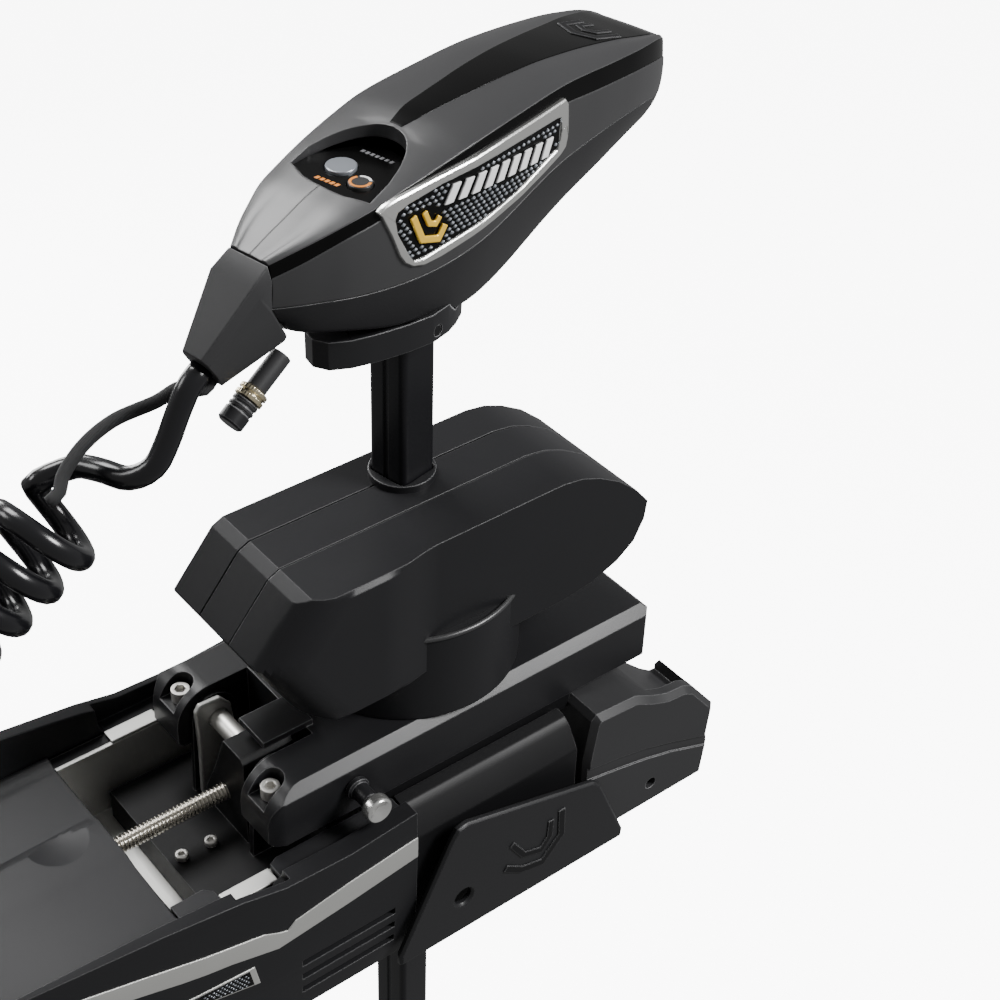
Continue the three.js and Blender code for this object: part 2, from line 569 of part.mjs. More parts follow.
// boot behind the head, where the cord leaves; its edges carry on those of the head
const BOOT_END = [-180.5, 537.5];
const BOOT_ANGLE = 31;
const boot = loft([
  [[-137, 17, 596.2], [-137, 20, 586.9], [-137, 19, 565.5], [-120.4, 14, 537]],
  [[-152, 18.2, 587.4], [-147.8, 20.6, 579.3], [-138, 20, 564.5], [-123, 14, 534.4]],
  [[-187.4, 8.5, 549], [-184.4, 12, 544], [-178.4, 12.5, 534], [-171, 7, 521.7]],
].map(bothSides));
add('head_boot', boot, 0x1c1d1f, 0.6, 0.1, turned);

// spare connector that hangs under the boot
const along = new THREE.Vector3(-0.859, 0, -0.512);
const plugPiece = (radius, from, to) => new THREE.CylinderGeometry(radius, radius, to - from, 20)
  .applyQuaternion(new THREE.Quaternion().setFromUnitVectors(new THREE.Vector3(0, 1, 0), along))
  .translate(-124 + (along.x * (from + to)) / 2, -12, 524.5 + (along.z * (from + to)) / 2);
add('connector_body', plugPiece(7, 0, 28), 0x121314, 0.5, 0.1, turned);
add('connector_ring', plugPiece(9.5, 28 + GAP, 37), 0xb7a67c, 0.3, 1.0, turned);
add('connector_cap', plugPiece(9, 37 + GAP, 56), 0x0e0f10, 0.6, 0.1, turned);

// lower unit
const oval = (a, b, n) => Array.from({ length: n }, (_, i) => {
  const t = (2 * Math.PI * i) / n;
  return [a * Math.sign(Math.cos(t)) * Math.abs(Math.cos(t)) ** 0.8, b * Math.sign(Math.sin(t)) * Math.abs(Math.sin(t)) ** 0.8];
});
const neckRing = (z, halfU, halfV) => oval(halfU, halfV, 20).map(([u, v]) => [u, v, z]);
const neck = cut(
  loft([neckRing(SHAFT_BOTTOM + 18, 24, 23), neckRing(SHAFT_BOTTOM, 27, 24), neckRing(SHAFT_BOTTOM - 24, 44, 24),
    neckRing(SHAFT_BOTTOM - 40, 52, 22)]),
  slabXY(roundedSquare(SHAFT_SIZE + 0.8, SHAFT_CORNER), SHAFT_BOTTOM - GAP, SHAFT_BOTTOM + 40),
  cylinderX(MOTOR_RADIUS + GAP, -200, 200, 0, MOTOR_Z, 48),
);
add('lower_neck', neck, 0x1a1b1d, 0.45, 0.3, turned);
add('motor_tube', cylinderX(MOTOR_RADIUS, -92, 96, 0, MOTOR_Z, 48), 0x1d1e21, 0.4, 0.5, turned);
function turnedX(profile, x) {
  return new THREE.LatheGeometry(profile.map(([r, h]) => new THREE.Vector2(r, h)), 36)
    .rotateZ(-Math.PI / 2).translate(x, 0, MOTOR_Z);
}
add('nose_cone', turnedX([[0, 0], [48, 0], [47, 14], [42, 34], [32, 52], [18, 65], [7, 70], [0, 71]], 96 + GAP),
  0x1d1e21, 0.4, 0.5, turned);
add('rear_bell', turnedX([[0, -30], [26, -30], [36, -24], [46, -8], [48, 0], [0, 0]], -92 - GAP), 0x1d1e21, 0.4, 0.5,
  turned);
const skeg = slabXZ([[-40, MOTOR_Z - 46], [62, MOTOR_Z - 46], [48, MOTOR_Z - 76], [18, MOTOR_Z - 138],
  [6, MOTOR_Z - 148], [-14, MOTOR_Z - 148], [-30, MOTOR_Z - 90]], -4, 4, 2);
add('skeg', cut(skeg, cylinderX(MOTOR_RADIUS + GAP, -200, 200, 0, MOTOR_Z, 48)), 0x1a1b1d, 0.5, 0.2, turned);

// propeller: hub with three swept blades
const PROP_REAR = -158;
const PROP_FRONT = -124;
const blade = slabXY([[-9, 12], [9, 12], [17, 40], [27, 80], [24, 112], [8, PROP_RADIUS - 2], [-8, PROP_RADIUS - 6],
  [-20, 104], [-22, 70], [-16, 36]], -2, 2, 1);
const blades = [0, 1, 2].map((i) => blade.clone().rotateY(THREE.MathUtils.degToRad(62))
  .rotateX((2 * Math.PI * i) / 3).translate((PROP_FRONT + PROP_REAR) / 2, 0, MOTOR_Z));
add('propeller', join(cylinderX(23, PROP_REAR, PROP_FRONT, 0, MOTOR_Z, 36), ...blades), 0x141517, 0.5, 0.1, turned);
add('prop_nut', cylinderX(9, PROP_REAR - 13, PROP_REAR - GAP, 0, MOTOR_Z, 6), 0xb8babc, 0.3, 1.0, turned);

// ---- cords ----
function fromHead(u, v, z) {
  return [SHAFT_X + u * Math.cos(HEAD_YAW) - v * Math.sin(HEAD_YAW), u * Math.sin(HEAD_YAW) + v * Math.cos(HEAD_YAW), z];
}
const bootOut = THREE.MathUtils.degToRad(BOOT_ANGLE);
const exitPoint = (across, out) => fromHead(
  BOOT_END[0] - across * Math.sin(bootOut) - out * Math.cos(bootOut), 0,
  BOOT_END[1] + across * Math.cos(bootOut) - out * Math.sin(bootOut));

const COIL_START = [-66, 0, 444];
const COIL_RUN = [-0.85, 0, -0.527];
const COIL_LENGTH = 255;
const coilPoint = (far, side = 0, up = 0) => [
  COIL_START[0] + COIL_RUN[0] * far + COIL_RUN[2] * up,
  COIL_START[1] + side,
  COIL_START[2] + COIL_RUN[2] * far - COIL_RUN[0] * up,
];
add('cord_lead', tube([exitPoint(-1.6, GAP), exitPoint(-1.6, 12), [3, -36, 512], [-6, -36, 494], [-16, -35, 479],
  [-28, -24, 469], [-37, -2, 466], [-45, 18, 460], coilPoint(-20, 28, 8), coilPoint(-GAP, 28, 8)], CORD_DIAMETER, 26),
  0x0a0a0b, 0.25, 0.0);
add('cord_coil', tube([coilPoint(0), coilPoint(COIL_LENGTH / 2), coilPoint(COIL_LENGTH)], COIL_DIAMETER, 4, 16),
  0x0a0a0b, 0.25, 0.0);
const glandFace = [GLAND.x - 20 - GAP, GLAND.y, GLAND.z];
add('cord_tail', tube([coilPoint(COIL_LENGTH + GAP, 28), coilPoint(COIL_LENGTH + 12, 28), [-318, 20, 262],
  [-362, -10, 196], [-396, -32, 140], [-390, -40, 101], [glandFace[0] - 8, GLAND.y, GLAND.z], glandFace], CORD_DIAMETER, 20),
  0x0a0a0b, 0.25, 0.0);

add('cord_braid', tube([exitPoint(-14.8, GAP), exitPoint(-14.8, 8), [15, -22, 519], [2, -12, 508], [-26, -4, 500],
  [-48, -2, 488], [-64, -4, 473], coilPoint(-10, -8, 21), coilPoint(-GAP, -8, 21)], 9, 26, 8), 0x1c1c1d, 0.8, 0.0);

export default group;
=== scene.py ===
import bpy
import bmesh
import json
import math
from mathutils import Matrix, Vector

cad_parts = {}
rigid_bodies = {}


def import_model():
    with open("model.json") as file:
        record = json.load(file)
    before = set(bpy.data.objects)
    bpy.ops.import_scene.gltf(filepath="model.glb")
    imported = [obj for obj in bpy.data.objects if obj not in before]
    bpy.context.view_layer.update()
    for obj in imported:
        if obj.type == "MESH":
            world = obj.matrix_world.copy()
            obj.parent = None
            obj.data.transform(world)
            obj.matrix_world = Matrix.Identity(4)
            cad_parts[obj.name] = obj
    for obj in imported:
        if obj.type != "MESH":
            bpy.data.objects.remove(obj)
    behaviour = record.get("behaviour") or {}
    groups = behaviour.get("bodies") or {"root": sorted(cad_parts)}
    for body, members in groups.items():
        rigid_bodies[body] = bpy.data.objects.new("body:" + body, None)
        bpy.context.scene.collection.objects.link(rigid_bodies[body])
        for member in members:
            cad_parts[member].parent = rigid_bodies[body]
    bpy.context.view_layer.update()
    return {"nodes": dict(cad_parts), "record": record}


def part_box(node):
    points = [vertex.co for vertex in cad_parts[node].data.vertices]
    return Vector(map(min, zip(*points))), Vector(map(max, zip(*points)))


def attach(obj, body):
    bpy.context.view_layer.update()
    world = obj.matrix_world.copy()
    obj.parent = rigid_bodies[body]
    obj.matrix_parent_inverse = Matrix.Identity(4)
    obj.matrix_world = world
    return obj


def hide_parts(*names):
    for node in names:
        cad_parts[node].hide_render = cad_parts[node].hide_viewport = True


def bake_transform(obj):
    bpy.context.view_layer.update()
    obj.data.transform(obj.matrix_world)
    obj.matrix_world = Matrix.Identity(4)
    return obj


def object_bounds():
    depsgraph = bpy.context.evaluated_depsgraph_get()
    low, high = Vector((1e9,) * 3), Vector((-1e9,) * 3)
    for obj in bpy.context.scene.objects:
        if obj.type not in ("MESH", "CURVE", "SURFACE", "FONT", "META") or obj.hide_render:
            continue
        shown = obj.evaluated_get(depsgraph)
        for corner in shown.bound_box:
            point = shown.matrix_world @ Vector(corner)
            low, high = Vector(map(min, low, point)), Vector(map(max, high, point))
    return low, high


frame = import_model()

# ---------- camera ----------
AZ, EL = math.radians(36.4), math.radians(38.0)
look = Vector((math.sin(AZ) * math.cos(EL), math.cos(AZ) * math.cos(EL), -math.sin(EL)))
right = Vector((math.cos(AZ), -math.sin(AZ), 0))
up = right.cross(look)
camera_data = bpy.data.cameras.new("camera")
camera_data.lens = 68.69
camera_data.sensor_width = 36
camera_data.shift_x = 0.098
camera_data.clip_end = 1000
camera = bpy.data.objects.new("camera", camera_data)
place = Matrix((right, up, -look)).transposed().to_4x4()
place.translation = Vector((-0.4513, -0.8834, 1.1885))
camera.matrix_world = place
bpy.context.collection.objects.link(camera)
bpy.context.scene.camera = camera

# ---------- helpers ----------
MM = 0.001
YAW = math.radians(11)
SHAFT_X = 200.0


def head(u, v, z):
    """A point of the turned head and lower unit, in metres."""
    x = SHAFT_X + u * math.cos(YAW) - v * math.sin(YAW)
    return Vector((x, u * math.sin(YAW) + v * math.cos(YAW), z)) * MM


def mm(x, y, z):
    """A point given in millimetres, in metres."""
    return Vector((x, y, z)) * MM


def new_object(name, verts, faces, body=None, smooth=True):
    mesh = bpy.data.meshes.new(name)
    mesh.from_pydata([tuple(v) for v in verts], [], faces)
    mesh.validate()
    mesh.update()
    obj = bpy.data.objects.new(name, mesh)
    bpy.context.collection.objects.link(obj)
    work = bmesh.new()
    work.from_mesh(mesh)
    bmesh.ops.recalc_face_normals(work, faces=work.faces)
    work.to_mesh(mesh)
    work.free()
    if smooth:
        mesh.polygons.foreach_set("use_smooth", [True] * len(mesh.polygons))
    if body:
        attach(obj, body)
    return obj


def sharpen(obj, angle=35):
    """Smooth faces with sharp edges where the surface turns."""
    mesh = obj.data
    work = bmesh.new()
    work.from_mesh(mesh)
    limit = math.radians(angle)
    for edge in work.edges:
        edge.smooth = len(edge.link_faces) == 2 and edge.calc_face_angle(0) < limit
    work.to_mesh(mesh)
    work.free()
    mesh.polygons.foreach_set("use_smooth", [True] * len(mesh.polygons))
    if "even_normals" not in obj.modifiers:
        even = obj.modifiers.new("even_normals", "WEIGHTED_NORMAL")
        even.keep_sharp = True
        even.weight = 80
    return obj


def smooth_path(points, step):
    """Centripetal Catmull-Rom curve through the points, sampled about every step metres."""
    pts = [Vector(p) for p in points]
    pts = [pts[0] * 2 - pts[1]] + pts + [pts[-1] * 2 - pts[-2]]
    out = []
    for i in range(1, len(pts) - 2):
        p0, p1, p2, p3 = pts[i - 1:i + 3]
        t0 = 0.0
        t1 = t0 + max((p1 - p0).length, 1e-9) ** 0.5
        t2 = t1 + max((p2 - p1).length, 1e-9) ** 0.5
        t3 = t2 + max((p3 - p2).length, 1e-9) ** 0.5
        n = max(1, round((p2 - p1).length / step))
        for k in range(n):
            t = t1 + (t2 - t1) * k / n
            a1 = p0 * ((t1 - t) / (t1 - t0)) + p1 * ((t - t0) / (t1 - t0))
            a2 = p1 * ((t2 - t) / (t2 - t1)) + p2 * ((t - t1) / (t2 - t1))
            a3 = p2 * ((t3 - t) / (t3 - t2)) + p3 * ((t - t2) / (t3 - t2))
            b1 = a1 * ((t2 - t) / (t2 - t0)) + a2 * ((t - t0) / (t2 - t0))
            b2 = a2 * ((t3 - t) / (t3 - t1)) + a3 * ((t - t1) / (t3 - t1))
            out.append(b1 * ((t2 - t) / (t2 - t1)) + b2 * ((t - t1) / (t2 - t1)))
    out.append(pts[-2])
    return out


def path_rings(path, radius, sides):
    """A ring of points round each point of the path, without twist."""
    rings = []
    tangent = (path[1] - path[0]).normalized()
    side = tangent.orthogonal().normalized()
    for i, p in enumerate(path):
        a = path[max(i - 1, 0)]
        b = path[min(i + 1, len(path) - 1)]
        t = (b - a).normalized()
        side = (side - t * side.dot(t)).normalized()
        other = t.cross(side)
        rings.append([p + side * (radius * math.cos(2 * math.pi * k / sides))
                      + other * (radius * math.sin(2 * math.pi * k / sides)) for k in range(sides)])
    return rings


def skin(name, rings, body=None):
    """A closed skin through rings of equal length."""
    n = len(rings[0])
    verts = [v for ring in rings for v in ring]
    faces = []
    for i in range(len(rings) - 1):
        for j in range(n):
            a, b = i * n + j, i * n + (j + 1) % n
            faces.append((a, b, b + n, a + n))
    faces.append(tuple(range(n))[::-1])
    faces.append(tuple(range((len(rings) - 1) * n, len(rings) * n)))
    return new_object(name, verts, faces, body)


def rows_between(rows, step):
    """The rows and smooth rows between them, a row at least every step of its first column."""
    def slope(i, j):
        a, b = rows[max(i - 1, 0)], rows[min(i + 1, len(rows) - 1)]
        return (b[j] - a[j]) / (b[0] - a[0])

    out = []
    for i, (a, b) in enumerate(zip(rows, rows[1:])):
        span = b[0] - a[0]
        n = max(1, math.ceil(span / step))
        for k in range(n):
            t = k / n
            h = (2 * t ** 3 - 3 * t ** 2 + 1, t ** 3 - 2 * t ** 2 + t,
                 3 * t ** 2 - 2 * t ** 3, t ** 3 - t ** 2)
            out.append([a[0] + span * t] + [h[0] * a[j] + h[1] * span * slope(i, j) + h[2] * b[j]
                                            + h[3] * span * slope(i + 1, j) for j in range(1, len(a))])
    out.append(list(rows[-1]))
    return out


def rounded_ring(corners, steps=4, between=5):
    """A closed ring through corners [(point, radius, bulge of the edge after it)], rounded at each corner."""
    n = len(corners)
    middle = sum((c[0] for c in corners), Vector()) / n
    ring = []
    for i, (p, radius, bulge) in enumerate(corners):
        before, after = corners[i - 1][0] - p, corners[(i + 1) % n][0] - p
        r_in, r_out = min(radius, before.length * 0.45), min(radius, after.length * 0.45)
        a, b = p + before.normalized() * r_in, p + after.normalized() * r_out
        if radius > 0:
            for k in range(steps + 1):
                t = k / steps
                ring.append(a * (1 - t) ** 2 + p * 2 * t * (1 - t) + b * t ** 2)
        else:
            ring.append(p.copy())
        q, q_radius = corners[(i + 1) % n][:2]
        back = p - q
        end = q + back.normalized() * min(q_radius, back.length * 0.45)
        along = (end - b).normalized()
        outward = (b + end) / 2 - middle
        outward = outward - along * outward.dot(along)
        outward = outward.normalized() if outward.length > 1e-9 else outward
        for k in range(1, between):
            t = k / between
            ring.append(b.lerp(end, t) + outward * (4 * bulge * t * (1 - t)))
    return ring


finishes = []


def finish(obj, slot_name):
    """obj takes the finish of that material slot."""
    finishes.append((obj, slot_name))


SLOT_OF = {part["node"]: part["material_slot"] for part in frame["record"]["subparts"]}
# shown in another slot than the record's; the ramps only as painted shade, to darken the gap under the arm
SLOT_OF |= {"lever_bracket": "aluminium", "far_ramp": "dark_metal", "near_ramp": "dark_metal",
            "head_collar": "black_plastic"}
BODY_OF = {node: body for body, names in frame["record"]["behaviour"]["bodies"].items() for node in names}


def refined(node, width, segments=2, angle=28, smooth_angle=35):
    """A copy of a CAD node with its hard edges rounded, shown in its place."""
    mesh = frame["nodes"][node].data.copy()
    work = bmesh.new()
    work.from_mesh(mesh)
    bmesh.ops.remove_doubles(work, verts=work.verts, dist=1e-6)
    bmesh.ops.dissolve_limit(work, angle_limit=math.radians(1.2), verts=work.verts, edges=work.edges)
    edges = [e for e in work.edges if len(e.link_faces) == 2 and e.calc_face_angle(0) > math.radians(angle)
             and e.calc_length() > 0.0004]
    bmesh.ops.bevel(work, geom=edges, offset=width * MM, segments=segments, profile=0.5, affect="EDGES",
                    clamp_overlap=True)
    bmesh.ops.recalc_face_normals(work, faces=work.faces)
    work.to_mesh(mesh)
    work.free()
    mesh.materials.clear()
    obj = bpy.data.objects.new(node + "_surface", mesh)
    bpy.context.collection.objects.link(obj)
    sharpen(obj, smooth_angle)
    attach(obj, BODY_OF[node])
    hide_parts(node)
    finish(obj, SLOT_OF[node])
    return obj


def prism(name, outline, place_point, depth_low, depth_high, body, bevel=0.0, segments=2):
    """A solid from an outline of (a, b) points, place_point(a, b, depth) giving each point."""
    n = len(outline)
    verts = [place_point(a, b, depth) for depth in (depth_low, depth_high) for a, b in outline]
    faces = [tuple(range(n))[::-1], tuple(range(n, 2 * n))]
    faces += [(i, (i + 1) % n, (i + 1) % n + n, i + n) for i in range(n)]
    obj = new_object(name, verts, faces, body, smooth=False)
    if bevel:
        work = bmesh.new()
        work.from_mesh(obj.data)
        bmesh.ops.bevel(work, geom=[e for e in work.edges if e.calc_face_angle(0) > 0.5], offset=bevel * MM,
                        segments=segments, profile=0.5, affect="EDGES", clamp_overlap=True)
        work.to_mesh(obj.data)
        work.free()
    sharpen(obj, 32)
    return obj


def cut_away(obj, cutter):
    """obj without what lies in cutter, which is then removed."""
    mod = obj.modifiers.new("cut", "BOOLEAN")
    mod.object = cutter
    mod.operation = "DIFFERENCE"
    mod.solver = "EXACT"
    bpy.context.view_layer.update()
    mesh = bpy.data.meshes.new_from_object(obj.evaluated_get(bpy.context.evaluated_depsgraph_get()))
    obj.modifiers.remove(mod)
    obj.data = mesh
    bpy.data.objects.remove(cutter)
    sharpen(obj, 32)


# ---------- cords ----------
CORD = 0.016
BOOT_END = (-180.5, 537.5)
BOOT_ANGLE = math.radians(31)


def exit_point(across, out):
    return head(BOOT_END[0] - across * math.sin(BOOT_ANGLE) - out * math.cos(BOOT_ANGLE), 0,
                BOOT_END[1] + across * math.cos(BOOT_ANGLE) - out * math.sin(BOOT_ANGLE))


COIL_START = (-66, 0, 444)
COIL_RUN = (-0.85, 0, -0.527)
COIL_LENGTH = 255


def coil_point(far, side=0.0, lift=0.0):
    return mm(COIL_START[0] + COIL_RUN[0] * far + COIL_RUN[2] * lift, COIL_START[1] + side,
              COIL_START[2] + COIL_RUN[2] * far - COIL_RUN[0] * lift)


COIL_R = 29
TURN_START = math.radians(74)
TURN_END = math.radians(90 + 360 * 9)
lead_points = [exit_point(-1.6, 0.4), exit_point(-1.6, 12)] + [mm(*p) for p in (
    (3, -36, 512), (-6, -36, 494), (-16, -35, 479), (-28, -24, 469), (-37, -2, 466), (-45, 18, 460))]
STEPS_PER_TURN = 28
coil_steps = round((TURN_END - TURN_START) / (2 * math.pi) * STEPS_PER_TURN)
coil_points = []
for i in range(coil_steps + 1):
    t = i / coil_steps
    a = TURN_START + (TURN_END - TURN_START) * t
    coil_points.append(coil_point(COIL_LENGTH * t, COIL_R * math.sin(a), COIL_R * math.cos(a)))
tail_points = [mm(*p) for p in ((-318, 20, 262), (-362, -10, 196), (-396, -32, 140), (-390, -40, 101))]
gland_low, gland_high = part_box("cord_gland")
gland_mid = (gland_low + gland_high) / 2
gland_face = Vector((gland_low.x - 0.0004, gland_mid.y, gland_mid.z))
tail_points += [gland_face - mm(8, 0, 0), gland_face]

whole = smooth_path(lead_points + coil_points + tail_points, 0.0065)
rings = path_rings(whole, CORD / 2, 16)


def nearest(point):
    """The number of the cord's point that is nearest to this one."""
    return min(range(len(whole)), key=lambda i: (whole[i] - point).length)


def far_of(turns):
    """How far that many turns reach along the coil's axis, in mm."""
    return COIL_LENGTH * turns * 2 * math.pi / (TURN_END - TURN_START)


def turn_index(turns):
    """The number of the cord's point at which that many turns are done."""
    a = TURN_START + 2 * math.pi * turns
    return nearest(coil_point(far_of(turns), COIL_R * math.sin(a), COIL_R * math.cos(a)))


# One cord in four sections: piece, bodies, first and last turn of a blend over a single joint; no section is
# blended, and bodies and turns are not used. It is stretched too far when trimmed up, steered or stowed, most
# of all when steered half round.
cuts = [0, turn_index(4.5), turn_index(5.9), turn_index(8.1), len(whole) - 1]
sections = [
    ("coil_cord_head_end", "shaft", "steering_hub", 0.3, 4.3, ["cord_lead", "cord_coil"]),
    ("coil_cord_upper_turns", "steering_hub", "arm", 4.7, 5.7, []),
    ("coil_cord_lower_turns", "arm", "carriage", 6.1, 7.9, []),
    ("coil_cord_base_end", "carriage", "base", 8.3, 8.9, ["cord_tail"]),
]
for (name, body_a, body_b, turn_a, turn_b, nodes), first, last in zip(sections, cuts, cuts[1:]):
    piece = skin(name, rings[first:last + 1])
    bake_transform(piece)
    if nodes:
        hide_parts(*nodes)
    finish(piece, "cord_rubber")

braid_path = smooth_path([exit_point(-14.8, 0.4), exit_point(-14.8, 8), mm(15, -22, 519), mm(2, -12, 508),
                          mm(-26, -4, 500), mm(-48, -2, 488), mm(-64, -4, 473), coil_point(-10, -8, 21),
                          coil_point(-0.4, -8, 21)], 0.004)
braid = skin("braided_cord", path_rings(braid_path, 0.0045, 14), "shaft")
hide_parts("cord_braid")
finish(braid, "braid_fabric")


# ---------- control head ----------
# Sections of the head in mm. A separate program fitted most of them to the photo. More than half of its
# numbers were then changed, most by less than a millimetre:
# [u, half width, half stripe, top, ridge, band, crease, keel, lean of the keel]
HEAD_ROWS = [
    [-136, 17.3, 3, 597.2, 596.6, 587.2, 565.6, 539.5, 17],
    [-120, 26.1, 4, 604, 603.1, 593.4, 564.1, 536.5, 8],
    [-105, 32.7, 4, 609.5, 608, 599.1, 562.6, 533.6, 2],
    [-90, 38.4, 4, 615.5, 612.8, 604.3, 560.6, 529.8, 0],
    [-70, 42.7, 4, 621, 617, 608.3, 557.8, 522.8, 0],
    [-50, 45.6, 4, 626.3, 621.6, 613.4, 555.6, 515.8, 0],
    [-30, 48, 4, 630.5, 625.5, 618.3, 554.6, 510.6, 0],
    [-10, 49.7, 4.8, 633.9, 629.2, 622.2, 554.8, 506.6, 0],
    [10, 51, 9.4, 638, 632.4, 625, 556.9, 503, 0],
    [30, 51, 11.3, 639.7, 634.3, 626.5, 560, 502.4, 0],
    [50, 50.2, 13.1, 640.9, 635.6, 627.2, 564.9, 506.3, 0],
    [70, 49.3, 15, 642, 636.7, 627.2, 571, 512.8, 0],
    [90, 48.4, 16.6, 642.5, 637.7, 626.5, 577, 521, 0],
    [110, 47.6, 18, 642.4, 637.9, 625, 581.3, 529.3, 0],
    [130, 47, 19.6, 641.2, 636.9, 623, 584, 536.8, 0],
    [150, 46.4, 21.3, 639.5, 635.3, 621.4, 586, 543, 0],
    [170, 45.1, 23.4, 637.2, 633.6, 619.6, 587, 548.4, 0],
    [190, 43.2, 26, 634.6, 631.7, 617.5, 587, 553.8, 0],
    [207, 40.2, 28, 631.3, 629.6, 615, 585.5, 557, 0],
    [222, 36.4, 28.5, 628, 627, 612, 583, 558.6, 0],
    [235, 31.5, 25, 623.5, 622.5, 608.3, 580, 559, 0],
    [244, 26, 19, 617, 615.5, 604, 578, 560.5, 0],
    [250, 18, 12, 607.5, 606, 599, 577, 564, 0],
    [252.5, 8, 5, 596, 595, 592, 580, 572, 0],
]
head_rows = rows_between(HEAD_ROWS, 4)


def head_zone(name, corners_of, rows, slot_name, nodes=()):
    """One zone of the head: a closed skin through a rounded ring of corners for each row."""
    rings_of_zone = [rounded_ring([(head(u, v, z), r * MM, k * MM) for u, v, z, r, k in corners_of(row)])
                     for row in rows]
    obj = skin(name, rings_of_zone, "shaft")
    sharpen(obj, 40)
    finish(obj, slot_name)
    if nodes:
        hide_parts(*nodes)
    return obj


def top_corners(row):
    u, half, stripe, top, ridge = row[:5]
    inner = max(half - 4, half * 0.7)
    soft = 12 if u < -8 else 1.5
    return [(u, inner, ridge - 5, 0, 0), (u, half, ridge, 1.2, 0.9), (u, stripe, top, soft, 0.3),
            (u, -stripe, top, soft, 0.9), (u, -half, ridge, 1.2, 0), (u, -inner, ridge - 5, 0, 0)]


def strip_corners(row, side, high, low, out_high, out_low, bulge, radius):
    """Corners of a strip on one flank, between two heights."""
    u = row[0]
    inner = min(out_high, out_low) - max(3, 0.1 * row[1])
    inner = max(inner, 1)
    return [(u, side * out_high, high, radius, bulge), (u, side * out_low, low, radius, 0),
            (u, side * inner, low + 0.5, 0, 0), (u, side * inner, high - 0.5, 0, 0)]


def band_corners(row, side):
    half, ridge, band = row[1], row[4], row[5]
    return strip_corners(row, side, ridge - 0.4, band - 0.2, half - 0.5, half + 0.7, 0.1, 0.4)


def side_corners(row, side):
    half, band, crease = row[1], row[5], row[6]
    return strip_corners(row, side, band, crease, half + 1.5, half * 0.97 + 0.5, 0.9, 1.0)


def under_corners(row):
    u, half, crease, keel, lean = row[0], row[1], row[6], row[7], row[8]
    wide, narrow = half * 0.97 + 0.1, half * 0.68
    return [(u, wide, crease - 0.3, 1, 0.6), (u + lean, narrow, keel, 5, 0),
            (u + lean, -narrow, keel, 5, 0.6), (u, -wide, crease - 0.3, 1, 0)]


head_top = head_zone("head_top", top_corners, head_rows, "graphite_plastic", ["head_upper_cover"])
for side, tag in ((-1, "near"), (1, "far")):
    head_zone("head_band_" + tag, lambda row: band_corners(row, side), head_rows, "panel_gloss")
    head_zone("head_side_" + tag, lambda row: side_corners(row, side), head_rows, "graphite_plastic")
head_zone("head_under", under_corners, head_rows, "black_plastic", ["head_lower_housing"])
stripe_rows = [row for row in head_rows if -8 <= row[0] <= 226]
head_zone("head_stripe", lambda row: [(row[0], row[2] - 0.3, row[3] + 0.35, 0.5, 0.3),
                                      (row[0], -row[2] + 0.3, row[3] + 0.35, 0.5, 0),
                                      (row[0], -row[2] + 0.3, row[3] - 2, 0, 0),
                                      (row[0], row[2] - 0.3, row[3] - 2, 0, 0)], stripe_rows, "panel_gloss")

# recess of the panel, near D-shaped: its front and its rear are smooth curves through these points
RECESS = [(-69, -37), (-50, -35), (-34, -30), (-20, -22), (-11, -12), (-8.5, 0), (-11, 12), (-20, 22),
          (-34, 30), (-50, 35), (-66, 34), (-72.5, 18), (-75, 0), (-74, -20)]
arc = smooth_path([Vector((a, b, 0)) for a, b in RECESS[1:10]], 2)
rear = smooth_path([Vector((a, b, 0)) for a, b in RECESS[10:]], 3)
recess_outline = [RECESS[0]] + [(p.x, p.y) for p in arc + rear]
recess = prism("recess", recess_outline, head, 606, 660, None)
cut_away(head_top, recess)

# ---------- rounded edges on the moulded and machined pieces ----------
ROUNDED = {
    "tilt_arm": 2.0, "steering_housing": 1.2,
    "steering_hub": 1.5, "far_side_cover": 1.2, "near_side_cover": 1.2, "centre_cover": 1.0, "rear_cap": 2.0,
    "far_ramp": 1.2, "near_ramp": 1.2, "far_side_plate": 1.2, "near_side_plate": 1.2, "far_bumper": 2.0,
    "near_bumper": 2.0, "front_bearing": 1.0, "rear_bearing": 1.0, "carriage": 0.8, "lever_bracket": 0.8,
    "head_collar": 1.2, "head_boot": 1.2, "control_panel": 0.4, "power_button": 0.8, "mode_button": 0.8,
    "shaft": 1.0, "base_channel": 0.5, "base_plate": 1.0, "far_rail_tab": 0.4, "near_rail_tab": 0.4,
    "near_ear_bolt": 0.6, "far_ear_bolt": 0.6, "sled_screw_rear": 0.4, "sled_screw_front": 0.4,
    "pivot_pin": 0.6, "collar_screw": 0.4, "skeg": 1.2, "lower_neck": 1.0, "motor_tube": 0.8,
    "nose_cone": 0.6, "rear_bell": 0.8,
    "propeller": 0.6, "prop_nut": 0.6, "drive_motor": 1.0, "cord_gland": 0.8, "connector_body": 0.8,
}
surfaces = {node: refined(node, width) for node, width in ROUNDED.items()}

# ---------- drive pod covers, with fine joints between them ----------
POD = [(69, 356), (285, 356), (303, 353), (320, 346), (340, 334), (358, 318), (371, 302), (369, 286),
       (360, 268), (344, 256), (320, 247), (290, 243), (82, 243), (57, 256), (25.5, 309), (25.5, 311),
       (59.5, 351.5)]
NEAR_FACE, SWELL, ROLL, ROLL_SHARE = 88, 7.5, 28, 0.85
REAR_LINES = [((57, 256), (25, 310)), ((25, 310), (63, 356))]


def smooth_step(t):
    t = max(0.0, min(1.0, t))
    return t * t * (3 - 2 * t)


